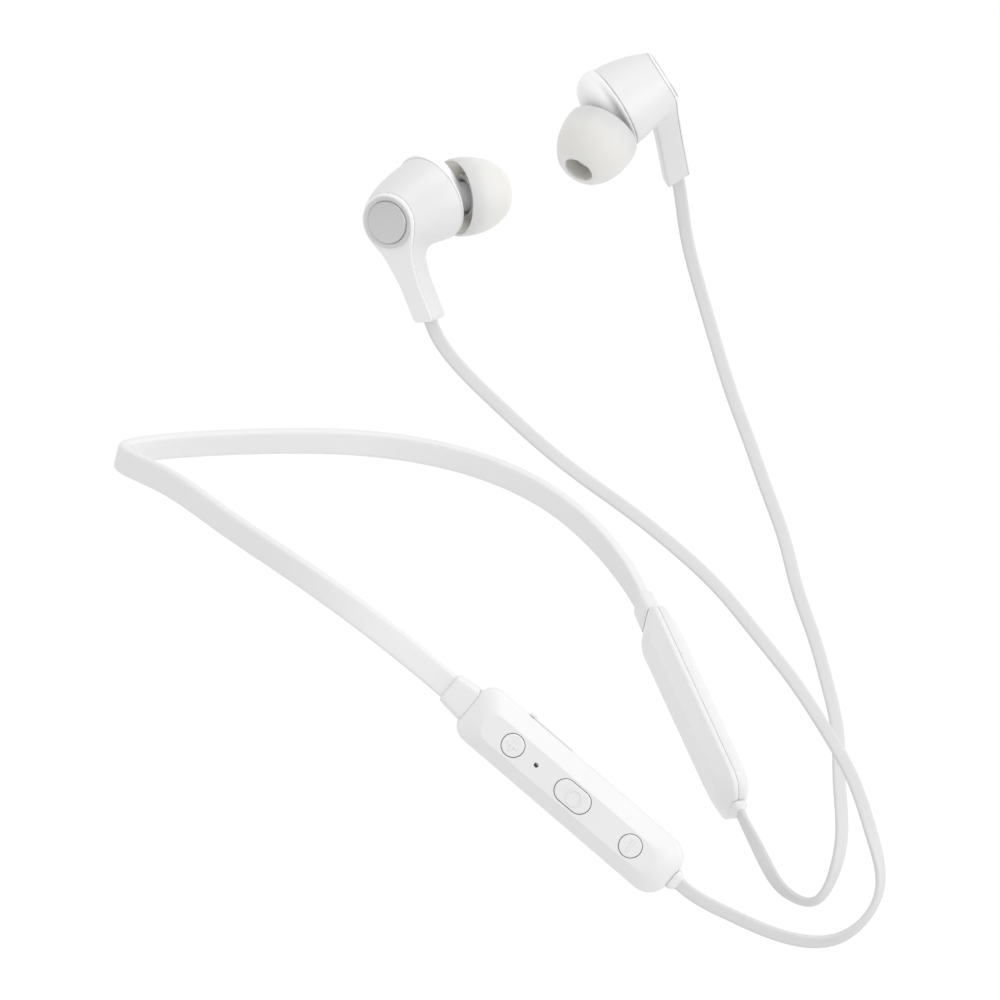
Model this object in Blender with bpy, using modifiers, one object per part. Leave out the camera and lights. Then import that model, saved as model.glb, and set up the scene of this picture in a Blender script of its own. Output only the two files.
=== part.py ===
"""White wireless neckband earphones, built piece by piece in the pose in which they are worn.

The flat band goes round the nape, with the control pod on one end and the battery pod on the
other. A flat cable hangs from each pod and comes back up to an earbud.

World axes: +Z up, the wearer looks along -Y, and the near side (the wearer's right) is -X.
The origin is on the band's inner face at the nape. Sizes are in millimetres, and every mesh
is built in metres through MM.
"""
import math

import bmesh
import bpy
import numpy as np
from mathutils import Matrix, Vector

MM = 0.001
GAP = 0.3                      # clearance between neighbouring pieces

# Band: a flat strip standing on its edge, and the route of its centre line from pod to pod
BAND_WIDTH = 4.4
BAND_THICKNESS = 1.9
BAND_WALL = 0.5
BAND_CORNER = 0.6
NAPE_GAP = 0.5                 # the two halves part here, at the flex hinge
NEAR_ARM = [(-37.5, -61.5, -7.4), (-31.0, -38.0, -0.3), (-17.5, -16.0, 1.8)]
FAR_ARM = [(17.0, -14.5, 0.0), (32.0, -38.0, -2.0), (37.5, -63.5, -10.5)]
BAND_STATIONS = 26
BAND_STEPS = 400               # fine steps along the whole band
TWIST_STEPS = 160              # steps over which each end turns to face as its pod does
SPRING_DIAMETER = 0.6
LEAD_DIAMETER = 0.5
CORE_OFFSET = 0.9              # spring above and lead below the middle of the strip

# Pods: one outline for both, a flat face with a chamfer all round on each side
POD_LENGTH = 44.0
POD_HALF_WIDTH = 5.15
POD_FACE_HALF = 2.45
POD_HALF_DEPTH = 2.95
POD_SIDE_HALF = 1.04           # half height of the upright side wall
POD_SEAM = -0.2                # height of the seam between the two shells
POD_WALL = 0.9
POD_START_RADIUS = 3.0         # corner radius at the band end
POD_END_RADIUS = 3.8           # corner radius at the cable end
FACE_START = 3.7
FACE_END = 41.4
CONTROL_POD = {
    "origin": (-30.5, -83.7, -24.8), "along": (0.183, -0.763, -0.606), "face": (-0.922, -0.349, 0.166),
}
BATTERY_POD = {
    "origin": (32.5, -82.6, -25.8), "along": (-0.527, -0.675, -0.516), "face": (0.774, -0.632, 0.035),
}
SEAM_CLEARANCE = 0.25          # between the edges of the two shells
SLEEVE_LENGTH = 4.0

# Controls, measured along the control pod from its band end
BUTTON_RADIUS = 1.95
BUTTON_CLEARANCE = 0.27
PLUS_AT = 10.0
MICROPHONE_AT = 15.0
MULTIFUNCTION_AT = 22.9
MULTIFUNCTION_HALF_LENGTH = 3.4
MINUS_AT = 35.4
BUTTON_TOP = 3.05
MICROPHONE_HOLE = 0.42
FLAP_START = 8.8
FLAP_END = 18.0
FLAP_TOP = 0.15
FLAP_BOTTOM = -1.85
FLAP_PROUD = 0.2               # how far the flap stands out from the side wall
FLAP_TAB = (1.2, 0.6, 1.2)

# What the pods hold: sizes and places along, across and above the pod's middle plane
SWITCH_SIZE = (2.8, 2.8, 0.5)
SWITCH_HEIGHT = 0.45
BUTTON_FLANGE = 0.35           # how far a cap's retaining flange reaches under the face
SOCKET_SIZE = (7.4, 3.3, 1.6)
SOCKET_AT = (13.2, 0.75, -1.05)
SOCKET_SLOT = (6.6, 3.3, 1.1)
PORT_MOUTH = (7.4, 4.0, 1.5)
PORT_MOUTH_AT = (13.2, 4.6, -0.95)
MAIN_BOARD = (36.0, 7.4, 0.35)
MAIN_BOARD_AT = (22.8, 0, 0)
MICROPHONE_SIZE = (2.4, 1.8, 0.9)
MICROPHONE_HEIGHT = 0.75
RADIO_SIZE = (9.0, 6.0, 1.0)
RADIO_AT = (26.0, 0, -1.0)
CELL_SIZE = (30.0, 6.2, 3.0)
CELL_AT = (20.0, 0, 0)
PROTECTION_BOARD = (3.6, 5.0, 0.6)
PROTECTION_BOARD_AT = (38.6, 0, 0)
WIRE_OPENING = (4.0, 3.4, 1.7)
GLAND_OPENING = (4.0, 3.1, 2.1)
COLLAR_END = 1.1               # how far the gland's collar reaches beyond the pod

# Cables: flat cords, drawn here as round cores of about the same section area
CABLE_DIAMETER = 2.0
NEAR_CABLE_POINTS = [
    (-20.2, -126.8, -57.0), (-17.6, -135.4, -60.2), (-13.5, -144.0, -60.3), (-9.1, -148.9, -53.0),
    (-7.4, -146.6, -43.9), (-6.6, -142.6, -35.2), (-6.8, -137.4, -27.2), (-7.4, -131.6, -19.5),
    (-8.6, -125.4, -12.2), (-10.1, -119.1, -5.0), (-12.6, -112.1, 1.7), (-15.6, -105.1, 7.7),
    (-19.2, -98.2, 13.4), (-22.9, -92.2, 19.3), (-26.8, -86.6, 25.9), (-31.0, -81.8, 32.7),
]
FAR_CABLE_POINTS = [
    (4.1, -118.3, -52.1), (0.2, -123.4, -55.6), (-2.5, -128.4, -58.0), (-2.7, -133.4, -58.5),
    (-0.1, -135.7, -53.7), (3.5, -135.1, -48.0), (8.7, -131.8, -41.2), (14.4, -128.3, -34.5),
    (19.5, -123.5, -27.9), (24.4, -118.2, -21.6), (28.9, -112.6, -15.3), (33.7, -107.5, -8.6),
    (37.8, -101.9, -1.9), (41.4, -96.5, 5.1), (44.4, -91.2, 12.6), (46.7, -86.7, 20.7),
    (47.8, -83.0, 29.4), (47.3, -80.7, 38.6),
]
CABLE_POINTS = 56
EXIT_STRAIGHT = 1.8

# Earbuds: plate face = XY plane, +Y up the stem, +Z away from the ear, +X forward
# (side -1 mirrors a bud, and deepen moves its rim, nozzle and tip further from the plate)
NEAR_BUD = {
    "origin": (-42.0, -74.9, 58.1), "up": (0.007, 0.211, 0.977), "outward": (-1.0, -0.008, 0.009),
    "side": 1, "deepen": 0.0, "rim_normal": (0.307, 0.193, -0.932),
    "tip_axis": (0.488, -0.101, -0.868), "tip_seat": -0.8,
}
FAR_BUD = {
    "origin": (40.4, -80.4, 66.8), "up": (-0.5, 0.277, 0.82), "outward": (0.504, -0.677, 0.536),
    "side": -1, "deepen": 0.8, "rim_normal": (0.2, 0.13, -0.971),
    "tip_axis": (0.64, -0.036, -0.768), "tip_seat": 0.5,
}
PLATE_RADIUS = 4.7
PLATE_THICKNESS = 1.2
PLATE_FLARE = 0.06             # the plate's back is this share wider than its front
RECESS_DEPTH = 0.6
STEM_DEPTH = 4.4
STEM_HALF_WIDTH = 1.8
STEM_BOTTOM = -17.9
STEM_BEND_AT = -2.6
STEM_LEAN = 0.36               # how far the stem leans towards the ear, per unit down
RIM_CENTRE = (3.3, 1.85, -9.3)
RIM_RADIUS = 7.2
TIP_BASE = (6.6, 1.1, -12.4)
NOZZLE_RADIUS = 2.6
NOZZLE_BORE = 2.1
NOZZLE_LENGTH = 6.5
DISC_RADIUS = 3.4
BEZEL_OUTER = 4.2
BEZEL_INNER = 3.6
HOUSING_BULGE = 0.35
DRIVER_CUP = [(4.7, 0.0), (4.7, -1.5), (2.9, -1.5), (2.9, -1.1), (4.3, -1.1), (4.3, 0.0)]
MAGNET_RADIUS = 2.5
MAGNET_HEIGHT = 0.8
DIAPHRAGM_RADIUS = 4.0
TIP_OUTLINE = [                # (radius, height) up the outside of the ear tip and back down inside
    (2.9, 9.7), (3.5, 9.5), (4.3, 8.8), (5.1, 7.5), (5.8, 5.9), (6.3, 4.2), (6.5, 2.6), (6.5, 1.2),
    (6.3, 0.0), (5.9, 0.4), (5.9, 2.6), (5.7, 4.1), (5.2, 5.6), (4.4, 6.9), (3.7, 6.6), (3.6, 1.6),
    (3.0, 1.6), (3.0, 8.0), (2.75, 8.7), (2.75, 9.4),
]
PLATE_HEIGHTS = [4.6, 4.3, 3.7, 2.7, 1.4, 0.0, -1.4, -2.6, -3.4, -4.6, -6.5, -9.0, -12.0, -17.6]
STEM_BACK_HEIGHTS = [-3.9, -6.5, -9.0, -12.0, -17.6]
ROUND_STEPS = 28

# Looks: colour, roughness and, for metal, how metallic
WHITE = (0.86, 0.86, 0.86)
SHELL = (WHITE, 0.3)
SOFT = (WHITE, 0.45)
BUTTON = ((0.84, 0.84, 0.84), 0.35)
CABLE = ((0.8, 0.8, 0.8), 0.5)
SILICONE = ((0.85, 0.85, 0.82), 0.6)
STEEL = ((0.62, 0.62, 0.64), 0.3, 1.0)
COPPER = ((0.75, 0.5, 0.35), 0.5)
BOARD = ((0.05, 0.22, 0.12), 0.5)
DARK_PLASTIC = ((0.25, 0.25, 0.25), 0.4)
CELL_FOIL = ((0.7, 0.7, 0.72), 0.35, 0.6)
GREY_RING = ((0.75, 0.75, 0.76), 0.25, 0.3)
SPUN_METAL = ((0.7, 0.7, 0.71), 0.3, 1.0)
FILM = ((0.3, 0.4, 0.5), 0.3)


# ---------------------------------------------------------------- scene and small helpers
def start_scene():
    for existing in list(bpy.data.objects):
        bpy.data.objects.remove(existing)
    made = []
    for name in ("neckband_earphones", "cutters"):
        collection = bpy.data.collections.new(name)
        bpy.context.scene.collection.children.link(collection)
        made.append(collection)
    return made


PARTS, CUTTERS = start_scene()


def material(name, colour, roughness, metallic=0.0):
    made = bpy.data.materials.new(name)
    made.use_nodes = True
    shader = made.node_tree.nodes["Principled BSDF"]
    shader.inputs["Base Color"].default_value = (*colour, 1.0)
    shader.inputs["Roughness"].default_value = roughness
    shader.inputs["Metallic"].default_value = metallic
    return made


def empty(name, matrix):
    made = bpy.data.objects.new(name, None)
    PARTS.objects.link(made)
    made.matrix_world = matrix
    return made


def frame_matrix(origin, x_axis, z_axis):
    """The placement whose X and Z axes are the given ones, with its origin in millimetres."""
    z_axis = Vector(z_axis).normalized()
    x_axis = Vector(x_axis)
    x_axis = (x_axis - z_axis * x_axis.dot(z_axis)).normalized()
    rotation = Matrix((x_axis, z_axis.cross(x_axis), z_axis)).transposed()
    return Matrix.Translation(Vector(origin) * MM) @ rotation.to_4x4()


def add(name, mesh, look, parent=None, location=(0, 0, 0), rotation=None, collection=PARTS):
    made = bpy.data.objects.new(name, mesh)
    collection.objects.link(made)
    if look is not None:
        mesh.materials.append(material(name, *look))
    made.parent = parent
    made.location = Vector(location) * MM
    if rotation is not None:
        made.rotation_euler = rotation.to_euler()
    return made


def smooth(made, angle=40):
    made.data.shade_smooth()
    made.data.set_sharp_from_angle(angle=math.radians(angle))
    return made


def loft(name, rings, closed=False):
    """One solid through rings of equal point counts, with end caps, or closed on itself."""
    shell = bmesh.new()
    levels = [[shell.verts.new(Vector(point) * MM) for point in ring] for ring in rings]
    pairs = list(zip(levels, levels[1:]))
    if closed:
        pairs.append((levels[-1], levels[0]))
    else:
        shell.faces.new(levels[0])
        shell.faces.new(levels[-1])
    count = len(levels[0])
    for lower, upper in pairs:
        for i in range(count):
            j = (i + 1) % count
            shell.faces.new((lower[i], lower[j], upper[j], upper[i]))
    bmesh.ops.recalc_face_normals(shell, faces=shell.faces)
    if shell.calc_volume(signed=True) < 0:
        bmesh.ops.reverse_faces(shell, faces=shell.faces)
    mesh = bpy.data.meshes.new(name)
    shell.to_mesh(mesh)
    shell.free()
    return mesh


def box(name, size):
    shell = bmesh.new()
    bmesh.ops.create_cube(shell, size=1.0)
    bmesh.ops.scale(shell, vec=Vector(size) * MM, verts=shell.verts)
    mesh = bpy.data.meshes.new(name)
    shell.to_mesh(mesh)
    shell.free()
    return mesh


def cylinder(name, radius, height, steps=ROUND_STEPS):
    shell = bmesh.new()
    bmesh.ops.create_cone(shell, cap_ends=True, segments=steps, radius1=radius * MM,
                          radius2=radius * MM, depth=height * MM)
    mesh = bpy.data.meshes.new(name)
    shell.to_mesh(mesh)
    shell.free()
    return mesh


def turned(name, profile, look, parent, location, rotation):
    """A solid of revolution about its Z axis from a closed outline of (radius, height)."""
    count = len(profile)
    mesh = bpy.data.meshes.new(name)
    points = [(radius * MM, 0.0, height * MM) for radius, height in profile]
    mesh.from_pydata(points, [(i, (i + 1) % count) for i in range(count)], [])
    made = add(name, mesh, look, parent, location, rotation)
    screw = made.modifiers.new("turn", "SCREW")
    screw.steps = ROUND_STEPS
    screw.render_steps = ROUND_STEPS
    screw.use_merge_vertices = True
    screw.merge_threshold = 0.00001
    screw.use_smooth_shade = True
    return made


def combine(made, other, operation):
    other.hide_render = True
    other.display_type = "WIRE"
    boolean = made.modifiers.new(operation.lower(), "BOOLEAN")
    boolean.operation = operation
    boolean.solver = "EXACT"
    boolean.object = other


def cut(made, cutter):
    combine(made, cutter, "DIFFERENCE")


def join(made, extra):
    combine(made, extra, "UNION")


def cutter_shape(name, mesh, parent, location=(0, 0, 0)):
    return add(name, mesh, None, parent, location, None, CUTTERS)


def round_edges(made, width, segments=2):
    bevel = made.modifiers.new("edges", "BEVEL")
    bevel.width = width * MM
    bevel.segments = segments
    bevel.limit_method = "ANGLE"


def rounded_outline(low, high, half, low_radius, high_radius, steps=4):
    """A rounded rectangle from low to high along the first axis, half wide on the second."""
    corners = [(high - high_radius, half - high_radius, high_radius, 0),
               (low + low_radius, half - low_radius, low_radius, 90),
               (low + low_radius, low_radius - half, low_radius, 180),
               (high - high_radius, high_radius - half, high_radius, 270)]
    points = []
    for centre_a, centre_b, radius, start in corners:
        for k in range(steps + 1):
            angle = math.radians(start + 90.0 * k / steps)
            points.append((centre_a + radius * math.cos(angle), centre_b + radius * math.sin(angle)))
    return points


def spline(points, count, start, end):
    """Evenly spaced points on the smooth cubic curve through the given ones, from start's way to end's."""
    knots = np.array([tuple(point) for point in points], dtype=float)
    steps = np.linalg.norm(np.diff(knots, axis=0), axis=1)
    total = len(knots)
    left = np.zeros((total, total))
    right = np.zeros((total, 3))
    left[0, 0] = left[-1, -1] = 1.0
    right[0] = np.array(start)
    right[-1] = np.array(end)
    for i in range(1, total - 1):
        before, after = steps[i - 1], steps[i]
        left[i, i - 1:i + 2] = 1 / before, 2 / before + 2 / after, 1 / after
        slope_before = (knots[i] - knots[i - 1]) / before ** 2
        slope_after = (knots[i + 1] - knots[i]) / after ** 2
        right[i] = 3 * (slope_before + slope_after)
    slopes = np.linalg.solve(left, right)
    fine = []
    for i in range(total - 1):
        for s in np.linspace(0.0, 1.0, 60, endpoint=i == total - 2):
            fine.append((1 + 2 * s) * (1 - s) ** 2 * knots[i] + s * s * (3 - 2 * s) * knots[i + 1]
                        + steps[i] * s * (1 - s) * ((1 - s) * slopes[i] - s * slopes[i + 1]))
    fine = np.array(fine)
    run = np.concatenate([[0.0], np.cumsum(np.linalg.norm(np.diff(fine, axis=0), axis=1))])
    wanted = np.linspace(0.0, run[-1], count)
    return [Vector([np.interp(at, run, fine[:, axis]) for axis in range(3)]) for at in wanted]


def wire(name, points, diameter, look, parent=None):
    """A round wire with filled ends along world points, held by an optional parent."""
    curve = bpy.data.curves.new(name, "CURVE")
    curve.dimensions = "3D"
    curve.bevel_depth = diameter / 2 * MM
    curve.bevel_resolution = 2
    curve.render_resolution_u = 0
    curve.use_fill_caps = True
    line = curve.splines.new("POLY")
    line.points.add(len(points) - 1)
    for knot, point in zip(line.points, points):
        knot.co = (*(Vector(point) * MM), 1.0)
    made = bpy.data.objects.new(name, curve)
    PARTS.objects.link(made)
    curve.materials.append(material(name, *look))
    if parent is not None:
        made.parent = parent
        made.matrix_parent_inverse = parent.matrix_world.inverted()
    return made


# ---------------------------------------------------------------- the frames everything hangs on
CONTROL_MATRIX = frame_matrix(CONTROL_POD["origin"], CONTROL_POD["along"], CONTROL_POD["face"])
BATTERY_MATRIX = frame_matrix(BATTERY_POD["origin"], BATTERY_POD["along"], BATTERY_POD["face"])


def bud_matrix(bud):
    up, outward = Vector(bud["up"]), Vector(bud["outward"])
    return frame_matrix(bud["origin"], up.cross(outward), outward)


def place(matrix, point):
    """A point given in a frame's own millimetres, as world millimetres."""
    return matrix @ (Vector(point) * MM) / MM


def direction(matrix, way):
    return (matrix.to_3x3() @ Vector(way)).normalized()


control_frame = empty("control_pod_frame", CONTROL_MATRIX)
flex_hinge = empty("band_flex_hinge", Matrix.Translation(Vector((0, BAND_THICKNESS / 2, 0)) * MM))


def frame_on_far_arm(name, matrix):
    made = empty(name, matrix)
    made.parent = flex_hinge
    made.matrix_parent_inverse = Matrix.Translation(-flex_hinge.location)
    return made


battery_frame = frame_on_far_arm("battery_pod_frame", BATTERY_MATRIX)
near_bud_frame = empty("near_bud_frame", bud_matrix(NEAR_BUD))
far_bud_frame = frame_on_far_arm("far_bud_frame", bud_matrix(FAR_BUD))


# ---------------------------------------------------------------- band
def band_stations():
    """Centre, inward normal and width direction along the band, from control to battery pod."""
    stand_off = (-SLEEVE_LENGTH - 2 * GAP, 0, 0)
    first, last = place(CONTROL_MATRIX, stand_off), place(BATTERY_MATRIX, stand_off)
    nape = (0, BAND_THICKNESS / 2, 0)
    ends = (-direction(CONTROL_MATRIX, (1, 0, 0)), direction(BATTERY_MATRIX, (1, 0, 0)))
    centres = spline([first] + NEAR_ARM + [nape] + FAR_ARM + [last], BAND_STEPS + 1, *ends)
    stations = []
    for i, centre in enumerate(centres):
        way = (centres[min(i + 1, BAND_STEPS)] - centres[max(i - 1, 0)]).normalized()
        inward = way.cross(Vector((0, 0, 1))).normalized()
        stations.append([centre, inward, inward.cross(way), way])
    for at, matrix in ((0, CONTROL_MATRIX), (BAND_STEPS, BATTERY_MATRIX)):
        centre, inward, width, way = stations[at]
        target = -direction(matrix, (0, 0, 1))
        angle = math.atan2(inward.cross(target).dot(way), inward.dot(target))
        for i in range(BAND_STEPS + 1):
            share = max(0.0, 1 - abs(i - at) / TWIST_STEPS)
            share = share * share * (3 - 2 * share)
            turn = Matrix.Rotation(angle * share, 3, stations[i][3])
            stations[i][1] = turn @ stations[i][1]
            stations[i][2] = turn @ stations[i][2]
    return stations


STATIONS = band_stations()
NAPE_INDEX = min(range(BAND_STEPS + 1), key=lambda i: abs(STATIONS[i][0].x))


def band_half(side):
    """Stations of one half, from its pod to just short of the nape."""
    if side == "near":
        clear = [s for s in STATIONS[:NAPE_INDEX + 1] if s[0].x < -NAPE_GAP / 2]
    else:
        clear = [s for s in reversed(STATIONS[NAPE_INDEX:]) if s[0].x > NAPE_GAP / 2]
    return [clear[round(k * (len(clear) - 1) / (BAND_STATIONS - 1))] for k in range(BAND_STATIONS)]


def strip_ring(station, width, thickness, corner):
    centre, inward, across, _ = station
    outline = rounded_outline(-width / 2, width / 2, thickness / 2, corner, corner, 2)
    return [centre + across * a + inward * b for a, b in outline]


def make_band(side, parent):
    half = band_half(side)
    outer = [strip_ring(s, BAND_WIDTH, BAND_THICKNESS, BAND_CORNER) for s in half]
    inside = (BAND_WIDTH - 2 * BAND_WALL, BAND_THICKNESS - 2 * BAND_WALL, 0.25)
    inner = [strip_ring(s, *inside) for s in reversed(half)]
    skin = add(f"{side}_band_skin", loft(f"{side}_band_skin", outer + inner, closed=True), SOFT)
    smooth(skin)
    if parent is not None:
        skin.parent = parent
        skin.matrix_parent_inverse = Matrix.Translation(-parent.location)
    matrix = CONTROL_MATRIX if side == "near" else BATTERY_MATRIX
    inside_pod = place(matrix, (3.0, 0, 0))
    across = half[0][2]
    for name, offset, diameter, look in (("spring_wire", CORE_OFFSET, SPRING_DIAMETER, STEEL),
                                         ("band_lead", -CORE_OFFSET, LEAD_DIAMETER, COPPER)):
        points = [inside_pod + across * offset] + [s[0] + s[2] * offset for s in half]
        wire(f"{side}_{name}", points, diameter, look, parent)


# ---------------------------------------------------------------- pods
def pod_ring(height, start, end, half, start_radius=POD_START_RADIUS, end_radius=POD_END_RADIUS):
    return [(x, y, height) for x, y in rounded_outline(start, end, half, start_radius, end_radius)]


def pod_shell(name, seam, sign, parent):
    """One half shell of a pod: flat face, chamfer, short side wall, hollow behind."""
    wall = POD_WALL
    inner_half = POD_HALF_WIDTH - wall
    inner_radii = (POD_START_RADIUS - wall, POD_END_RADIUS - wall)
    face_radius = POD_FACE_HALF - 0.05
    rings = [
        pod_ring(sign * POD_HALF_DEPTH, FACE_START, FACE_END, POD_FACE_HALF, face_radius, face_radius),
        pod_ring(sign * POD_SIDE_HALF, 0, POD_LENGTH, POD_HALF_WIDTH),
        pod_ring(seam, 0, POD_LENGTH, POD_HALF_WIDTH),
        pod_ring(seam, wall, POD_LENGTH - wall, inner_half, *inner_radii),
        pod_ring(sign * (POD_SIDE_HALF - 0.3), wall, POD_LENGTH - wall, inner_half, *inner_radii),
        pod_ring(sign * (POD_HALF_DEPTH - wall), FACE_START + 0.2, FACE_END - 0.2, POD_FACE_HALF - 0.1,
                 face_radius - 0.1, face_radius - 0.1),
    ]
    return smooth(add(name, loft(name, rings), SHELL, parent), 20)


def pod_cutters(prefix, parent):
    """The openings that both shells share: for the band's wires and for the cable gland."""
    way_in = cutter_shape(f"{prefix}_wire_opening", box("wire_opening", WIRE_OPENING), parent)
    way_out = cutter_shape(f"{prefix}_gland_opening", box("gland_opening", GLAND_OPENING), parent,
                           (POD_LENGTH, 0, 0))
    return way_in, way_out


def make_shells(prefix, parent):
    """The two half shells of a pod, with the openings at its ends."""
    front = pod_shell(f"{prefix}_front_shell", POD_SEAM + 0.2 * SEAM_CLEARANCE, 1, parent)
    rear = pod_shell(f"{prefix}_rear_shell", POD_SEAM - SEAM_CLEARANCE, -1, parent)
    for cutter in pod_cutters(prefix, parent):
        cut(front, cutter)
        cut(rear, cutter)
    return front, rear


def along_pod(rings):
    """Rings across the pod's length from (x, half width, half height, corner radius) rows."""
    return [[(x, y, z) for y, z in rounded_outline(-half_y, half_y, half_z, corner, corner, 2)]
            for x, half_y, half_z, corner in rings]


def make_sleeve(name, parent):
    start, end = -SLEEVE_LENGTH - GAP, -GAP
    outer = [(start, 2.55, 1.25, 0.8), (start + 0.35, 2.75, 1.45, 0.9), (end, 3.28, 1.75, 1.1)]
    bore = [(end, 1.5, 0.65, 0.3), (start, 1.5, 0.65, 0.3)]
    smooth(add(name, loft(name, along_pod(outer + bore), closed=True), SOFT, parent))


def make_gland(name, parent):
    end = POD_LENGTH
    rings = [(end - 2.4, 2.1, 0.8, 0.4), (end - 1.4, 2.1, 0.8, 0.4), (end - 1.4, 1.2, 0.7, 0.4),
             (end + GAP, 1.2, 0.7, 0.4), (end + GAP, 1.75, 1.25, 0.9), (end + COLLAR_END, 1.55, 1.0, 0.8)]
    smooth(add(name, loft(name, along_pod(rings)), SOFT, parent))


def obround(half_length, half_width, height):
    """A ring with round ends, at a height above the pod's middle plane."""
    radius = half_width - 0.02
    return [(x, y, height) for x, y in rounded_outline(-half_length, half_length, half_width, radius, radius)]


def button_cap(name, at, half_length):
    """A cap with a retaining flange under the face, its origin on its line of travel."""
    wide = half_length - BUTTON_RADIUS
    flange = BUTTON_RADIUS + BUTTON_FLANGE
    rings = [obround(0.9, 0.9, 1.05), obround(0.9, 0.9, 1.3)]
    for height, half in ((1.3, flange), (1.7, flange), (1.7, BUTTON_RADIUS),
                         (BUTTON_TOP - 0.15, BUTTON_RADIUS), (BUTTON_TOP, BUTTON_RADIUS - 0.2)):
        rings.append(obround(half + wide, half, height))
    smooth(add(name, loft(name, rings), BUTTON, control_frame, (at, 0, 0)))


def make_buttons(front):
    for name, at, half_length in (("plus", PLUS_AT, BUTTON_RADIUS),
                                  ("multifunction", MULTIFUNCTION_AT, MULTIFUNCTION_HALF_LENGTH),
                                  ("minus", MINUS_AT, BUTTON_RADIUS)):
        button_cap(f"{name}_button", at, half_length)
        half = BUTTON_RADIUS + BUTTON_CLEARANCE
        reach = half_length + BUTTON_CLEARANCE
        rings = [obround(reach, half, height) for height in (1.5, 4.0)]
        cut(front, cutter_shape(f"{name}_hole", loft("hole", rings), control_frame, (at, 0, 0)))
        switch = box(f"{name}_switch", SWITCH_SIZE)
        add(f"{name}_switch", switch, DARK_PLASTIC, control_frame, (at, 0, SWITCH_HEIGHT))
    mouth = cylinder("microphone_hole", MICROPHONE_HOLE, 4.0, 16)
    cut(front, cutter_shape("microphone_hole", mouth, control_frame, (MICROPHONE_AT, 0, 3.0)))


def flap_section(inset, top, bottom):
    """The outline of the flap across the pod: it follows the side wall, then the rear chamfer."""
    slope = (POD_HALF_WIDTH - POD_FACE_HALF) / (POD_HALF_DEPTH - POD_SIDE_HALF)
    low_y = POD_HALF_WIDTH - slope * (-POD_SIDE_HALF - bottom)
    out, behind = POD_HALF_WIDTH + FLAP_PROUD, POD_HALF_WIDTH - inset
    return [(out, top), (out, -POD_SIDE_HALF), (low_y + FLAP_PROUD, bottom),
            (low_y - inset, bottom), (behind, -POD_SIDE_HALF), (behind, top)]


def make_usb(front, rear):
    """The charging port in the side of the pod, and the hinged flap that closes it."""
    def across(start, end, inset, grow=0.0):
        outline = flap_section(inset, FLAP_TOP + grow, FLAP_BOTTOM - grow)
        return [[(x, y, z) for y, z in outline] for x in (start, end)]
    recess = loft("flap_recess", across(FLAP_START - GAP, FLAP_END + GAP, 0.45, GAP))
    recess = cutter_shape("flap_recess", recess, control_frame)
    mouth = cutter_shape("port_mouth", box("port_mouth", PORT_MOUTH), control_frame, PORT_MOUTH_AT)
    for shell in (front, rear):
        cut(shell, recess)
    cut(rear, mouth)
    socket = smooth(add("usb_socket", box("usb_socket", SOCKET_SIZE), STEEL, control_frame, SOCKET_AT))
    slot_at = (SOCKET_AT[0], SOCKET_AT[1] + 0.6, SOCKET_AT[2])
    cut(socket, cutter_shape("socket_slot", box("socket_slot", SOCKET_SLOT), control_frame, slot_at))
    hinge = Vector((FLAP_END, POD_HALF_WIDTH, 0))
    plate = [[Vector(point) - hinge for point in ring] for ring in across(FLAP_START, FLAP_END - 0.1, 0.12)]
    flap = add("usb_flap", loft("usb_flap", plate), SOFT, control_frame, hinge)
    tab_at = (FLAP_START + FLAP_TAB[0] / 2, POD_HALF_WIDTH + 0.4, -0.45)
    join(flap, cutter_shape("flap_tab_shape", box("flap_tab", FLAP_TAB), control_frame, tab_at))


def make_control_pod():
    front, rear = make_shells("control", control_frame)
    make_sleeve("control_sleeve", control_frame)
    make_gland("control_gland", control_frame)
    make_buttons(front)
    make_usb(front, rear)
    add("main_board", box("main_board", MAIN_BOARD), BOARD, control_frame, MAIN_BOARD_AT)
    add("microphone", box("microphone", MICROPHONE_SIZE), STEEL, control_frame,
        (MICROPHONE_AT, 0, MICROPHONE_HEIGHT))
    add("radio_module", box("radio_module", RADIO_SIZE), STEEL, control_frame, RADIO_AT)


def make_battery_pod():
    make_shells("battery", battery_frame)
    make_sleeve("battery_sleeve", battery_frame)
    make_gland("battery_gland", battery_frame)
    cell = add("battery_cell", box("battery_cell", CELL_SIZE), CELL_FOIL, battery_frame, CELL_AT)
    round_edges(cell, 0.7)
    board = box("protection_board", PROTECTION_BOARD)
    add("protection_board", board, BOARD, battery_frame, PROTECTION_BOARD_AT)


# ---------------------------------------------------------------- earbuds
def circle(centre, normal, radius, side=1, steps=ROUND_STEPS):
    """Points round a circle whose first point lies towards the bud's +X."""
    normal = Vector(normal).normalized()
    first = Vector((1, 0, 0))
    first = (first - normal * first.dot(normal)).normalized()
    second = Vector((0, 1, 0))
    second = (second - normal * second.dot(normal) - first * second.dot(first)).normalized()
    points = []
    for k in range(steps):
        angle = 2 * math.pi * k / steps
        point = Vector(centre) + first * radius * math.cos(angle) + second * radius * math.sin(angle)
        points.append((point.x * side, point.y, point.z))
    return points


def stem_front(y):
    return -STEM_LEAN * max(0.0, STEM_BEND_AT - y)


def stem_half_width(y):
    """Half the width of the plate and stem at a height: a disc that runs into a slim stem."""
    stem = STEM_HALF_WIDTH + 0.75 * max(0.0, (y + 11.0) / 6.0)
    disc = math.sqrt(max(0.0, PLATE_RADIUS ** 2 - y * y))
    return disc if y > -3.4 else min(stem, max(disc, stem))


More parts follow.
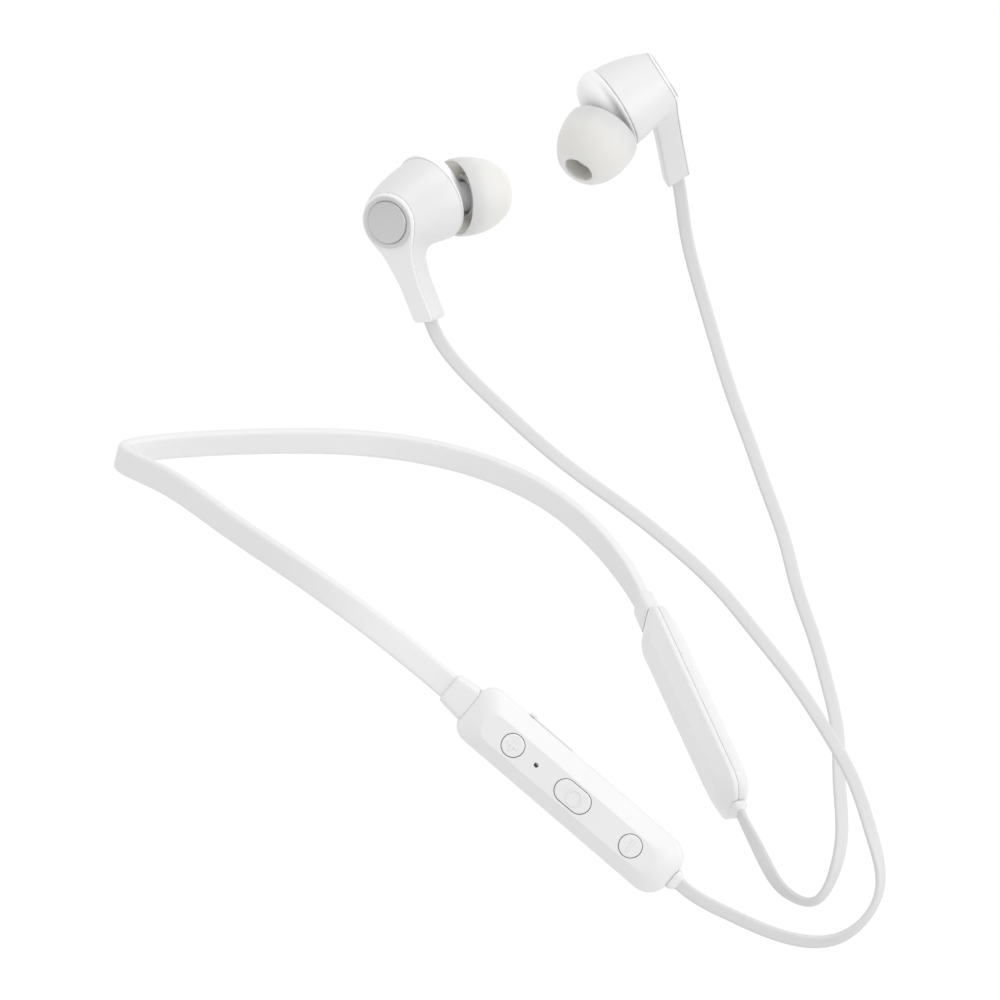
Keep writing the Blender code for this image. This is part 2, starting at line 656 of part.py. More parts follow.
def stem_rings(heights, front, back, side, corner=0.35):
    """Slices across the stem, each from its front down to its back; the disc part flares out."""
    rings = []
    for y in heights:
        half = max(0.6, stem_half_width(y))
        low, high = stem_front(y) - back, stem_front(y) - front
        outline = rounded_outline(low, high, half, min(corner, half - 0.1), min(corner, half - 0.1), 2)
        flare = PLATE_FLARE * min(1.0, max(0.0, (y + 5.0) / 3.0))
        ring = []
        for z, x in outline:
            grow = 1 + flare * (high - z) / (high - low)
            ring.append((x * side * grow, y * grow if y > 0 else y, z))
        rings.append(ring)
    return rings


def blend_rings(first, second, shares):
    return [[tuple(Vector(a).lerp(Vector(b), share)) for a, b in zip(first, second)] for share in shares]


def middle_of(ring):
    return sum((Vector(point) for point in ring), Vector()) / len(ring)


def make_plate(prefix, side, frame):
    """The outer moulding: a disc that runs down into the outer half of the stem."""
    rings = stem_rings(PLATE_HEIGHTS + [STEM_BOTTOM], 0.0, PLATE_THICKNESS, side)
    plate = smooth(add(f"{prefix}_face_plate", loft("face_plate", rings), SHELL, frame))
    recess = cylinder("recess", BEZEL_OUTER + 0.1, 2 * RECESS_DEPTH)
    cut(plate, cutter_shape(f"{prefix}_recess", recess, frame))
    bezel = [(BEZEL_OUTER - 0.1, 0.0), (BEZEL_OUTER, -0.1), (BEZEL_OUTER, -0.5),
             (BEZEL_INNER, -0.5), (BEZEL_INNER, -0.1)]
    turned(f"{prefix}_bezel", bezel, GREY_RING, frame, (0, 0, 0), Matrix.Identity(3))
    add(f"{prefix}_accent_disc", cylinder("accent_disc", DISC_RADIUS, 0.3), SPUN_METAL, frame, (0, 0, -0.35))


def make_housing(prefix, side, rim, rim_normal, frame):
    """The inner moulding: a hollow skewed cone from the plate to the rim, and the stem's inner half."""
    behind_plate = circle((0, 0, -PLATE_THICKNESS - GAP), (0, 0, 1), PLATE_RADIUS * (1 + PLATE_FLARE), side)
    plate_end = [(x, y, z + stem_front(y)) for x, y, z in behind_plate]
    rim_edge = circle(rim, -rim_normal, RIM_RADIUS, side)
    before_rim = circle(rim - rim_normal * 0.6, -rim_normal, RIM_RADIUS, side)
    inner_rim = circle(rim, -rim_normal, RIM_RADIUS - 0.9, side)
    inner_end = circle((0.2, 0, -PLATE_THICKNESS - GAP - 1.0), (0, 0, 1), PLATE_RADIUS - 1.4, side)
    rings = []
    for share in (0.0, 0.25, 0.5, 0.75, 1.0):
        ring = blend_rings(plate_end, before_rim, (share,))[0]
        centre = middle_of(ring)
        reach = (Vector(ring[0]) - centre).length
        grow = 1 + HOUSING_BULGE * 4 * share * (1 - share) / reach
        rings.append([tuple(centre + (Vector(point) - centre) * grow) for point in ring])
    rings += [rim_edge, inner_rim]
    rings += blend_rings(inner_rim, inner_end, (0.5, 1.0))
    housing = smooth(add(f"{prefix}_housing", loft("housing", rings), SHELL, frame))
    back = stem_rings(STEM_BACK_HEIGHTS + [STEM_BOTTOM], PLATE_THICKNESS + GAP, STEM_DEPTH, side, 0.9)
    join(housing, cutter_shape(f"{prefix}_stem_back_shape", loft("stem_back", back), frame))


def make_nozzle_cap(prefix, side, rim, rim_normal, tip_base, tip_axis, frame):
    """The ear side: a shallow dome on the rim and the slanted nozzle that leaves it."""
    root = circle(tip_base - tip_axis * 0.6, tip_axis, NOZZLE_RADIUS + 0.4, side)
    shoulder = circle(rim + rim_normal * 0.9, rim_normal, RIM_RADIUS - 0.15, side)
    lip = circle(rim + rim_normal * GAP, rim_normal, RIM_RADIUS - 0.05, side)
    inner_lip = circle(rim + rim_normal * GAP, rim_normal, RIM_RADIUS - 0.9, side)
    inner_shoulder = circle(rim + rim_normal * 0.7, rim_normal, RIM_RADIUS - 1.0, side)
    dome = []
    for depth, radius in ((0.4, 6.7), (0.7, 5.7), (0.9, 4.6)):
        ring = blend_rings(shoulder, root, (depth,))[0]
        centre = middle_of(ring)
        spread = (Vector(ring[0]) - centre).length
        dome.append([tuple(centre + (Vector(point) - centre) * radius / spread) for point in ring])
    tube = [circle(tip_base + tip_axis * along, tip_axis, radius, side)
            for along, radius in ((-0.1, NOZZLE_RADIUS), (NOZZLE_LENGTH, NOZZLE_RADIUS),
                                  (NOZZLE_LENGTH, NOZZLE_BORE), (-1.6, NOZZLE_BORE))]
    rings = [lip, shoulder] + dome + [root] + tube + [inner_shoulder, inner_lip]
    smooth(add(f"{prefix}_nozzle_cap", loft("nozzle_cap", rings, closed=True), SHELL, frame))


def make_bud(prefix, bud, frame):
    side = bud["side"]
    deeper = Vector((0, 0, -bud["deepen"]))
    rim, rim_normal = Vector(RIM_CENTRE) + deeper, Vector(bud["rim_normal"]).normalized()
    tip_base, tip_axis = Vector(TIP_BASE) + deeper, Vector(bud["tip_axis"]).normalized()
    make_plate(prefix, side, frame)
    make_housing(prefix, side, rim, rim_normal, frame)
    make_nozzle_cap(prefix, side, rim, rim_normal, tip_base, tip_axis, frame)

    def mirrored(point):
        return Vector((point[0] * side, point[1], point[2]))

    def standing(way):
        return Vector((0, 0, 1)).rotation_difference(mirrored(way))

    nozzle_turn, driver_turn = standing(tip_axis), standing(rim_normal)
    add(f"{prefix}_nozzle_mesh", cylinder("nozzle_mesh", NOZZLE_BORE - GAP, 0.3, 20), STEEL, frame,
        mirrored(tip_base + tip_axis * (NOZZLE_LENGTH - 0.6)), nozzle_turn)
    turned(f"{prefix}_driver_frame", DRIVER_CUP, DARK_PLASTIC, frame,
           mirrored(rim - rim_normal * 0.3), driver_turn)
    add(f"{prefix}_driver_magnet", cylinder("driver_magnet", MAGNET_RADIUS, MAGNET_HEIGHT, 20), STEEL, frame,
        mirrored(rim - rim_normal * 1.4), driver_turn)
    add(f"{prefix}_diaphragm", cylinder("diaphragm", DIAPHRAGM_RADIUS, 0.2, 24), FILM, frame,
        mirrored(rim - rim_normal * 0.5), driver_turn)
    seat = tip_base + tip_axis * bud["tip_seat"]
    turned(f"{prefix}_ear_tip", TIP_OUTLINE, SILICONE, frame, mirrored(seat), nozzle_turn)


# ---------------------------------------------------------------- cables
def cable_route(pod_matrix, middle, bud):
    """World points from the pod's gland, down through the loop and up to the earbud's stem."""
    matrix = bud_matrix(bud)
    out = POD_LENGTH + COLLAR_END + GAP
    exit_point = place(pod_matrix, (out, 0, 0))
    after = place(pod_matrix, (out + EXIT_STRAIGHT, 0, 0))
    stem_z = stem_front(STEM_BOTTOM) - STEM_DEPTH / 2
    down = Vector((0, -1, -STEM_LEAN)).normalized()
    arrive = Vector((0, STEM_BOTTOM, stem_z)) + down * (GAP + 0.1)
    before = arrive + down * EXIT_STRAIGHT
    knots = [exit_point, after] + middle + [place(matrix, before), place(matrix, arrive)]
    return spline(knots, CABLE_POINTS, direction(pod_matrix, (1, 0, 0)), direction(matrix, -down))


def make_cables():
    near_route = cable_route(CONTROL_MATRIX, NEAR_CABLE_POINTS, NEAR_BUD)
    far_route = cable_route(BATTERY_MATRIX, FAR_CABLE_POINTS, FAR_BUD)
    wire("near_cable", near_route, CABLE_DIAMETER, CABLE)
    wire("far_cable", far_route, CABLE_DIAMETER, CABLE, flex_hinge)


make_band("near", None)
make_band("far", flex_hinge)
make_control_pod()
make_battery_pod()
make_bud("near", NEAR_BUD, near_bud_frame)
make_bud("far", FAR_BUD, far_bud_frame)
make_cables()
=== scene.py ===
"""The look of the white neckband earphones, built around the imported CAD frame.

World axes as in the frame: +Z up, the wearer looks along -Y, the near side is -X, and the origin
is the band's inner face at the nape. Shapes are worked out in millimetres and made in metres.
"""

import math

import bmesh
import bpy
import numpy as np
from mathutils import Matrix, Vector


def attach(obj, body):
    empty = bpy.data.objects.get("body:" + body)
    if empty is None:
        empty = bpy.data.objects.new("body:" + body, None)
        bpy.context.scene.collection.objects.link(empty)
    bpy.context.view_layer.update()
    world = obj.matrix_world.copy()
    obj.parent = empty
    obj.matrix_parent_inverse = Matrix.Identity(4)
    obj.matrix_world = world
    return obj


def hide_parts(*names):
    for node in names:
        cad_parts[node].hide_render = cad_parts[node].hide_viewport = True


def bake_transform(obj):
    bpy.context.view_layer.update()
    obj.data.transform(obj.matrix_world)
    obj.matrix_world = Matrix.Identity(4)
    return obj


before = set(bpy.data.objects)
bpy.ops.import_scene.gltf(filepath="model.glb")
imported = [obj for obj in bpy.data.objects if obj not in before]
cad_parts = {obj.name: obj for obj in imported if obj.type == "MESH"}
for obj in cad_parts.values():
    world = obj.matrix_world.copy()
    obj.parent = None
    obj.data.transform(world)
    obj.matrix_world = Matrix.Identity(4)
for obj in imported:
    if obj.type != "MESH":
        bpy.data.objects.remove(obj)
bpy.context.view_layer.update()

MM = 0.001

# ---------------------------------------------------------------- sizes shared with the CAD source
BAND_WIDTH = 4.4
BAND_THICKNESS = 1.9
NEAR_ARM = [(-37.5, -61.5, -7.4), (-31.0, -38.0, -0.3), (-17.5, -16.0, 1.8)]
FAR_ARM = [(17.0, -14.5, 0.0), (32.0, -38.0, -2.0), (37.5, -63.5, -10.5)]
POD_LENGTH = 44.0
POD_HALF_WIDTH = 5.15
POD_FACE_HALF = 2.45
POD_HALF_DEPTH = 2.95
POD_SIDE_HALF = 1.04
POD_SEAM = -0.2
POD_START_RADIUS = 3.0
POD_END_RADIUS = 3.8
FACE_START = 3.7
FACE_END = 41.4
CONTROL_POD = {
    "origin": (-30.5, -83.7, -24.8), "along": (0.183, -0.763, -0.606), "face": (-0.922, -0.349, 0.166),
}
BATTERY_POD = {
    "origin": (32.5, -82.6, -25.8), "along": (-0.527, -0.675, -0.516), "face": (0.774, -0.632, 0.035),
}
SLEEVE_LENGTH = 4.0
PLUS_AT = 10.0
MICROPHONE_AT = 15.0
MULTIFUNCTION_AT = 22.9
MINUS_AT = 35.4
BUTTON_RADIUS = 1.95
BUTTON_CLEARANCE = 0.11
BUTTON_TOP = 3.02
FLAP_START = 8.8
FLAP_END = 18.0
FLAP_TOP = 0.15
FLAP_BOTTOM = -1.85
NEAR_CABLE_POINTS = [
    (-20.2, -126.8, -57.0), (-17.6, -135.4, -60.2), (-13.5, -144.0, -60.3), (-9.1, -148.9, -53.0),
    (-7.4, -146.6, -43.9), (-6.6, -142.6, -35.2), (-6.8, -137.4, -27.2), (-7.4, -131.6, -19.5),
    (-8.6, -125.4, -12.2), (-10.1, -119.1, -5.0), (-12.6, -112.1, 1.7), (-15.6, -105.1, 7.7),
    (-19.2, -98.2, 13.4), (-22.9, -92.2, 19.3), (-26.8, -86.6, 25.9), (-31.0, -81.8, 32.7),
]
FAR_CABLE_POINTS = [
    (4.1, -118.3, -52.1), (0.2, -123.4, -55.6), (-2.5, -128.4, -58.0), (-2.7, -133.4, -58.5),
    (-0.1, -135.7, -53.7), (3.5, -135.1, -48.0), (8.7, -131.8, -41.2), (14.4, -128.3, -34.5),
    (19.5, -123.5, -27.9), (24.4, -118.2, -21.6), (28.9, -112.6, -15.3), (33.7, -107.5, -8.6),
    (37.8, -101.9, -1.9), (41.4, -96.5, 5.1), (44.4, -91.2, 12.6), (46.7, -86.7, 20.7),
    (47.8, -83.0, 29.4), (47.3, -80.7, 38.6),
]
CABLE_WIDTH = 2.2
CABLE_THICKNESS = 1.0
CABLE_STEPS = 260
NEAR_BUD = {
    "origin": (-42.0, -74.9, 58.1), "up": (0.007, 0.211, 0.977), "outward": (-1.0, -0.008, 0.009),
    "side": 1, "deepen": 0.0, "rim_normal": (0.307, 0.193, -0.932),
    "tip_axis": (0.488, -0.101, -0.868), "tip_seat": -0.8,
}
FAR_BUD = {
    "origin": (40.4, -80.4, 66.8), "up": (-0.5, 0.277, 0.82), "outward": (0.504, -0.677, 0.536),
    "side": -1, "deepen": 0.8, "rim_normal": (0.2, 0.13, -0.971),
    "tip_axis": (0.64, -0.036, -0.768), "tip_seat": 0.5,
}
STEM_BOTTOM = -17.9
STEM_BEND_AT = -2.6
STEM_LEAN = 0.36
STEM_DEPTH = 4.4
STEM_HALF_WIDTH = 1.8
RECESS_RADIUS = 4.15
RECESS_FLOOR = -0.9
RIM_CENTRE = np.array((3.3, 1.85, -9.3))
RIM_RADIUS = 7.2
TIP_BASE = np.array((6.6, 1.1, -12.4))

# ---------------------------------------------------------------- sizes of the visible surfaces
MULTIFUNCTION_REACH = 3.4       # half the length of the middle button
BAND_STATIONS = 321
BAND_MIDDLE = BAND_STATIONS // 2
END_TWIST_STATIONS = 128        # how far the band's twist into each pod reaches
LEAN_DEGREES = 13               # the band's top leans inward near the nape
LEAN_FULL = 30                  # stations from the nape with the whole lean
LEAN_GONE = 108                 # stations from the nape where it has faded out
FACE_RADIUS = 4.6               # the earbud body at its outer face
STEM_ROUNDING = 0.35
SEAM_DEPTH = 0.4                # the mouldings' seam behind the outer face
SEAM_HALF_GAP = 0.02
DRIVER_SPACE = 6.3              # radius of the hollow behind the nozzle cap
NOZZLE_RADIUS = 2.45
NOZZLE_BORE = 2.0


def unit(way):
    way = np.array(way, float)
    return way / np.linalg.norm(way)


for one_bud in (NEAR_BUD, FAR_BUD):
    deeper = np.array((0.0, 0.0, -one_bud["deepen"]))
    one_bud["rim"] = RIM_CENTRE + deeper
    one_bud["rim_normal"] = unit(one_bud["rim_normal"])
    one_bud["tip_base"] = TIP_BASE + deeper
    one_bud["tip_axis"] = unit(one_bud["tip_axis"])


# ---------------------------------------------------------------- camera
TOWARDS_CAMERA = unit((-0.8365, -0.483, 0.259))
CAMERA_TARGET = np.array((0.0, -71.85, 1.3))
CAMERA_DISTANCE = 2000.0
CAMERA_LENS = 432.0

camera_data = bpy.data.cameras.new("camera")
camera = bpy.data.objects.new("camera", camera_data)
bpy.context.scene.collection.objects.link(camera)
camera.location = Vector(CAMERA_TARGET + TOWARDS_CAMERA * CAMERA_DISTANCE) * MM
camera.rotation_euler = Vector(TOWARDS_CAMERA).to_track_quat("Z", "Y").to_euler()
camera_data.sensor_width = 36.0
camera_data.lens = CAMERA_LENS
camera_data.clip_start = 0.1
camera_data.clip_end = 20.0
bpy.context.scene.camera = camera


# ---------------------------------------------------------------- frames and curves
def frame_matrix(origin, x_axis, z_axis):
    """A frame in millimetres: 3x3 axes as columns, and the origin."""
    z_axis = unit(z_axis)
    x_axis = np.array(x_axis, float)
    x_axis = unit(x_axis - z_axis * (x_axis @ z_axis))
    return np.array((x_axis, np.cross(z_axis, x_axis), z_axis)).T, np.array(origin, float)


CONTROL = frame_matrix(CONTROL_POD["origin"], CONTROL_POD["along"], CONTROL_POD["face"])
BATTERY = frame_matrix(BATTERY_POD["origin"], BATTERY_POD["along"], BATTERY_POD["face"])


def bud_frame(bud):
    return frame_matrix(bud["origin"], np.cross(bud["up"], bud["outward"]), bud["outward"])


def place(where, points):
    axes, origin = where
    return np.atleast_2d(points) @ axes.T + origin


def spline(points, count, start=None, end=None):
    """Evenly spaced points on the smooth cubic curve through the given ones."""
    knots = np.array([tuple(point) for point in points], dtype=float)
    steps = np.linalg.norm(np.diff(knots, axis=0), axis=1)
    total = len(knots)
    left = np.zeros((total, total))
    right = np.zeros((total, 3))
    for i in range(1, total - 1):
        before, after = steps[i - 1], steps[i]
        left[i, i - 1:i + 2] = 1 / before, 2 / before + 2 / after, 1 / after
        right[i] = 3 * (knots[i] - knots[i - 1]) / before ** 2 + 3 * (knots[i + 1] - knots[i]) / after ** 2
    left[0, 0] = left[-1, -1] = 1.0
    right[0], right[-1] = unit(start), unit(end)
    slopes = np.linalg.solve(left, right)
    fine = []
    for i in range(total - 1):
        for s in np.linspace(0.0, 1.0, 60, endpoint=i == total - 2):
            fine.append((1 + 2 * s) * (1 - s) ** 2 * knots[i] + s * s * (3 - 2 * s) * knots[i + 1]
                        + steps[i] * s * (1 - s) * ((1 - s) * slopes[i] - s * slopes[i + 1]))
    fine = np.array(fine)
    run = np.concatenate([[0.0], np.cumsum(np.linalg.norm(np.diff(fine, axis=0), axis=1))])
    wanted = np.linspace(0.0, run[-1], count)
    return np.array([[np.interp(at, run, fine[:, axis]) for axis in range(3)] for at in wanted])


def smoothstep(low, high, value):
    share = np.clip((np.asarray(value, float) - low) / (high - low), 0.0, 1.0)
    return share * share * (3 - 2 * share)


# ---------------------------------------------------------------- materials
def socket(shader, name, value):
    shader.inputs[name].default_value = value


def look(name, colour, roughness, grain=900.0, bump=0.02, vary=0.02, rough_vary=0.05, **constants):
    """A surface with slight mottling, grain and uneven gloss, all in the object's own coordinates."""
    made = bpy.data.materials.new(name)
    made.use_nodes = True
    nodes, links = made.node_tree.nodes, made.node_tree.links
    shader = nodes["Principled BSDF"]
    coordinates = nodes.new("ShaderNodeTexCoord")
    cloud = nodes.new("ShaderNodeTexNoise")
    cloud.inputs["Scale"].default_value = 90.0
    cloud.inputs["Detail"].default_value = 3.0
    links.new(coordinates.outputs["Object"], cloud.inputs["Vector"])
    tint = nodes.new("ShaderNodeMix")
    tint.data_type = "RGBA"
    dark = [c * (1 - vary) for c in colour]
    light = [min(1.0, c * (1 + vary)) for c in colour]
    tint.inputs["A"].default_value = (*dark, 1.0)
    tint.inputs["B"].default_value = (*light, 1.0)
    links.new(cloud.outputs["Fac"], tint.inputs["Factor"])
    links.new(tint.outputs["Result"], shader.inputs["Base Color"])
    spread = nodes.new("ShaderNodeMapRange")
    spread.inputs["To Min"].default_value = max(0.0, roughness - rough_vary)
    spread.inputs["To Max"].default_value = min(1.0, roughness + rough_vary)
    links.new(cloud.outputs["Fac"], spread.inputs["Value"])
    links.new(spread.outputs["Result"], shader.inputs["Roughness"])
    fine = nodes.new("ShaderNodeTexNoise")
    fine.inputs["Scale"].default_value = grain
    fine.inputs["Detail"].default_value = 2.0
    links.new(coordinates.outputs["Object"], fine.inputs["Vector"])
    relief = nodes.new("ShaderNodeBump")
    relief.inputs["Strength"].default_value = bump
    relief.inputs["Distance"].default_value = 0.0002
    links.new(fine.outputs["Fac"], relief.inputs["Height"])
    links.new(relief.outputs["Normal"], shader.inputs["Normal"])
    for key, value in constants.items():
        socket(shader, key.replace("_", " "), value)
    return made


SHELL_WHITE = look("shell_white", (0.70, 0.70, 0.703), 0.32, grain=2600, bump=0.05, Specular_IOR_Level=0.45)
OUTER_WHITE = look("outer_white", (0.75, 0.75, 0.753), 0.32, grain=2600, bump=0.05, Specular_IOR_Level=0.45)
INNER_WHITE = look("inner_white", (0.64, 0.64, 0.643), 0.34, grain=2600, bump=0.05, Specular_IOR_Level=0.45)
CAP_WHITE = look("cap_white", (0.79, 0.79, 0.793), 0.32, grain=2600, bump=0.05, Specular_IOR_Level=0.45)
BAND_WHITE = look("band_white", (0.69, 0.69, 0.693), 0.5, grain=2200, bump=0.06, Specular_IOR_Level=0.4)
CABLE_WHITE = look("cable_white", (0.58, 0.58, 0.582), 0.5, grain=1800, bump=0.05, Specular_IOR_Level=0.4)
SLEEVE_WHITE = look("sleeve_white", (0.69, 0.69, 0.692), 0.45, grain=2200, bump=0.06)
BUTTON_WHITE = look("button_white", (0.70, 0.70, 0.702), 0.38, grain=2600, bump=0.04)
SILICONE = look("silicone", (0.62, 0.615, 0.60), 0.55, grain=1500, bump=0.08, vary=0.012,
                Subsurface_Weight=0.8, Subsurface_Scale=0.004, Subsurface_Radius=(1.0, 0.97, 0.9))
BEZEL_GREY = look("bezel_grey", (0.56, 0.56, 0.565), 0.3, grain=1200, bump=0.01, Metallic=0.25)
STEEL = look("steel", (0.62, 0.62, 0.64), 0.28, grain=900, bump=0.05, Metallic=1.0)
BOARD_GREEN = look("board_green", (0.04, 0.18, 0.09), 0.45, grain=600, bump=0.1)
COMPONENT_BLACK = look("component_black", (0.04, 0.04, 0.042), 0.5, grain=900, bump=0.1)
COPPER = look("copper_lead", (0.62, 0.33, 0.18), 0.35, grain=900, bump=0.03, Metallic=0.7)
FOIL = look("cell_foil", (0.62, 0.63, 0.65), 0.4, grain=500, bump=0.2, Metallic=0.8)
FILM = look("diaphragm_film", (0.25, 0.33, 0.42), 0.25, grain=500, bump=0.05)


def spun_metal():
    """Turned metal: fine rings, and a highlight stretched along the radius."""
    made = look("spun_metal", (0.56, 0.56, 0.565), 0.3, grain=1500, bump=0.0, Metallic=1.0, Anisotropic=0.75)
    nodes, links = made.node_tree.nodes, made.node_tree.links
    shader = nodes["Principled BSDF"]
    tangent = nodes.new("ShaderNodeTangent")
    tangent.direction_type = "RADIAL"
    tangent.axis = "Z"
    links.new(tangent.outputs["Tangent"], shader.inputs["Tangent"])
    coordinates = nodes.new("ShaderNodeTexCoord")
    rings = nodes.new("ShaderNodeTexWave")
    rings.wave_type = "RINGS"
    rings.rings_direction = "Z"
    rings.inputs["Scale"].default_value = 900.0
    rings.inputs["Distortion"].default_value = 0.4
    links.new(coordinates.outputs["Object"], rings.inputs["Vector"])
    relief = nodes.new("ShaderNodeBump")
    relief.inputs["Strength"].default_value = 0.12
    relief.inputs["Distance"].default_value = 0.00003
    links.new(rings.outputs["Fac"], relief.inputs["Height"])
    links.new(relief.outputs["Normal"], shader.inputs["Normal"])
    return made


SPUN_METAL = spun_metal()


# ---------------------------------------------------------------- making pieces
def piece(name, points, faces, material, where=None, body=None, replaces=(), slot=None, angle=35):
    """A mesh piece from points in millimetres, in a frame or in the world."""
    if where is not None:
        points = place(where, points)
    mesh = bpy.data.meshes.new(name)
    corners = [tuple(point) for point in np.asarray(points) * MM]
    mesh.from_pydata(corners, [], [tuple(int(i) for i in face) for face in faces])
    mesh.validate()
    mesh.materials.append(material)
    shell = bmesh.new()
    shell.from_mesh(mesh)
    bmesh.ops.recalc_face_normals(shell, faces=shell.faces)
    if shell.calc_volume(signed=True) < 0:
        bmesh.ops.reverse_faces(shell, faces=shell.faces)
    shell.to_mesh(mesh)
    shell.free()
    mesh.shade_smooth()
    mesh.set_sharp_from_angle(angle=math.radians(angle))
    made = bpy.data.objects.new(name, mesh)
    bpy.context.scene.collection.objects.link(made)
    if body is not None:
        settle(made, body, replaces)
    return made


def settle(made, body, replaces=()):
    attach(made, body)
    if replaces:
        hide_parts(*replaces)
    return made


def loft(rings, closed=False):
    """Points and faces through rings of equal point counts, capped or closed on itself."""
    rings = [np.asarray(ring, float) for ring in rings]
    count = len(rings[0])
    points = np.concatenate(rings)
    faces = []
    rows = len(rings)
    for row in range(rows if closed else rows - 1):
        below, above = row * count, (row + 1) % rows * count
        for i in range(count):
            j = (i + 1) % count
            faces.append((below + i, below + j, above + j, above + i))
    if not closed:
        faces.append(tuple(range(count)))
        faces.append(tuple(range((rows - 1) * count, rows * count)))
    return points, faces


def together(*parts):
    """Several (points, faces) as one."""
    points, faces, base = [], [], 0
    for some_points, some_faces in parts:
        points.append(np.asarray(some_points, float))
        faces += [tuple(i + base for i in face) for face in some_faces]
        base += len(some_points)
    return np.concatenate(points), faces


def bake(made):
    """Applies the object's modifiers."""
    evaluated = made.evaluated_get(bpy.context.evaluated_depsgraph_get())
    mesh = bpy.data.meshes.new_from_object(evaluated)
    made.modifiers.clear()
    old = made.data
    made.data = mesh
    bpy.data.meshes.remove(old)
    return made


def cut(made, *cutters):
    """Takes the cutters' shapes out of the object and removes the cutters."""
    for each in (made, *cutters):
        flat = bmesh.new()
        flat.from_mesh(each.data)
        bmesh.ops.triangulate(flat, faces=flat.faces)
        flat.to_mesh(each.data)
        flat.free()
    for cutter in cutters:
        boolean = made.modifiers.new("cut", "BOOLEAN")
        boolean.operation = "DIFFERENCE"
        boolean.solver = "MANIFOLD"
        boolean.object = cutter
    bake(made)
    for cutter in cutters:
        bpy.data.objects.remove(cutter)
    made.data.set_sharp_from_angle(angle=math.radians(25))
    return made


def outline(low, high, half, low_radius, high_radius, arc=8, run=20, cap=4):
    """Points round a rounded rectangle, matched in number and place between outlines."""
    corners = [(high - high_radius, half - high_radius, high_radius, 0),
               (low + low_radius, half - low_radius, low_radius, 90),
               (low + low_radius, low_radius - half, low_radius, 180),
               (high - high_radius, high_radius - half, high_radius, 270)]
    arcs = []
    for centre_a, centre_b, radius, start in corners:
        angles = np.radians(start + 90.0 * np.arange(arc + 1) / arc)
        arcs.append(np.stack([centre_a + radius * np.cos(angles), centre_b + radius * np.sin(angles)], 1))
    points = []
    for k, steps in enumerate((run, cap, run, cap)):
        points.append(arcs[k])
        following = arcs[(k + 1) % 4][0]
        shares = (np.arange(1, steps) / steps)[:, None]
        points.append(arcs[k][-1] * (1 - shares) + following * shares)
    return np.concatenate(points)


def at_height(flat, height):
    return np.column_stack([flat, np.broadcast_to(height, len(flat))])


def shrunk(flat, amount):
    """The outline moved inwards by an amount, along its own normals."""
    before, after = np.roll(flat, 1, axis=0), np.roll(flat, -1, axis=0)
    way = after - before
    way /= np.maximum(np.linalg.norm(way, axis=1), 1e-9)[:, None]
    return flat + np.stack([-way[:, 1], way[:, 0]], 1) * amount


# ---------------------------------------------------------------- cables
def cable_route(pod, middle, bud):
    """World points from the pod's gland, down through the loop and up to the earbud's stem."""
    where = bud_frame(bud)
    out = POD_LENGTH + 0.9
    stem_z = STEM_LEAN * (STEM_BOTTOM - STEM_BEND_AT) - STEM_DEPTH / 2
    down = unit((0, -1, -STEM_LEAN))
    arrive = np.array((0, STEM_BOTTOM, stem_z)) - down * 0.8
    knots = [place(pod, (out, 0, 0))[0], place(pod, (out + 2.3, 0, 0))[0]] + list(middle)
    knots += [place(where, arrive + down * 3.0)[0], place(where, arrive)[0]]
    return spline(knots, CABLE_STEPS, pod[0][:, 0], where[0] @ -down)


def ribbon(name, route, twist, material, body, node, slot, exit_normal):
    """A flat cable along a route. Its thin side faces the viewer's direction turned by twist."""
    ways = np.gradient(route, axis=0)
    ways /= np.linalg.norm(ways, axis=1)[:, None]
    run = np.concatenate([[0.0], np.cumsum(np.linalg.norm(np.diff(route, axis=0), axis=1))])
    flat_way = np.array(TOWARDS_CAMERA)[None, :] - ways * (ways @ TOWARDS_CAMERA)[:, None]
    flat_way /= np.linalg.norm(flat_way, axis=1)[:, None]
    across = np.cross(ways, flat_way)
    start = math.degrees(math.atan2(exit_normal @ across[0], exit_normal @ flat_way[0]))
    if start > 90:
        start -= 180
    if start < -90:
        start += 180
    places = [0.0] + [at for at, _ in twist]
    turns = [start] + [turn for _, turn in twist]
    angles = np.radians(np.interp(run, places, turns))
    smooth_angles = np.convolve(np.pad(angles, 8, mode="edge"), np.ones(17) / 17, mode="valid")
    thin = flat_way * np.cos(smooth_angles)[:, None] + across * np.sin(smooth_angles)[:, None]
    wide = np.cross(ways, thin)
    section = outline(-CABLE_WIDTH / 2, CABLE_WIDTH / 2, CABLE_THICKNESS / 2, 0.42, 0.42, arc=4, run=3, cap=2)
    rings = [centre + section[:, :1] * w + section[:, 1:] * t for centre, w, t in zip(route, wide, thin)]
    made = piece(name, *loft(rings), material, body=body, replaces=[node], slot=slot, angle=60)
    return made


near_route = cable_route(CONTROL, NEAR_CABLE_POINTS, NEAR_BUD)
far_route = cable_route(BATTERY, FAR_CABLE_POINTS, FAR_BUD)
near_twist = [(12, 8), (26, 20), (34, 75), (40, 70), (50, 12), (163, 0)]
far_twist = [(14, 10), (20, 40), (27, 80), (34, 30), (48, 5), (163, 0)]
ribbon("near_ribbon_cable", near_route, near_twist, CABLE_WHITE, "neckband", "near_cable", "soft_cable",
       CONTROL[0][:, 2])
ribbon("far_ribbon_cable", far_route, far_twist, CABLE_WHITE, "far_arm", "far_cable", "soft_cable",
       BATTERY[0][:, 2])


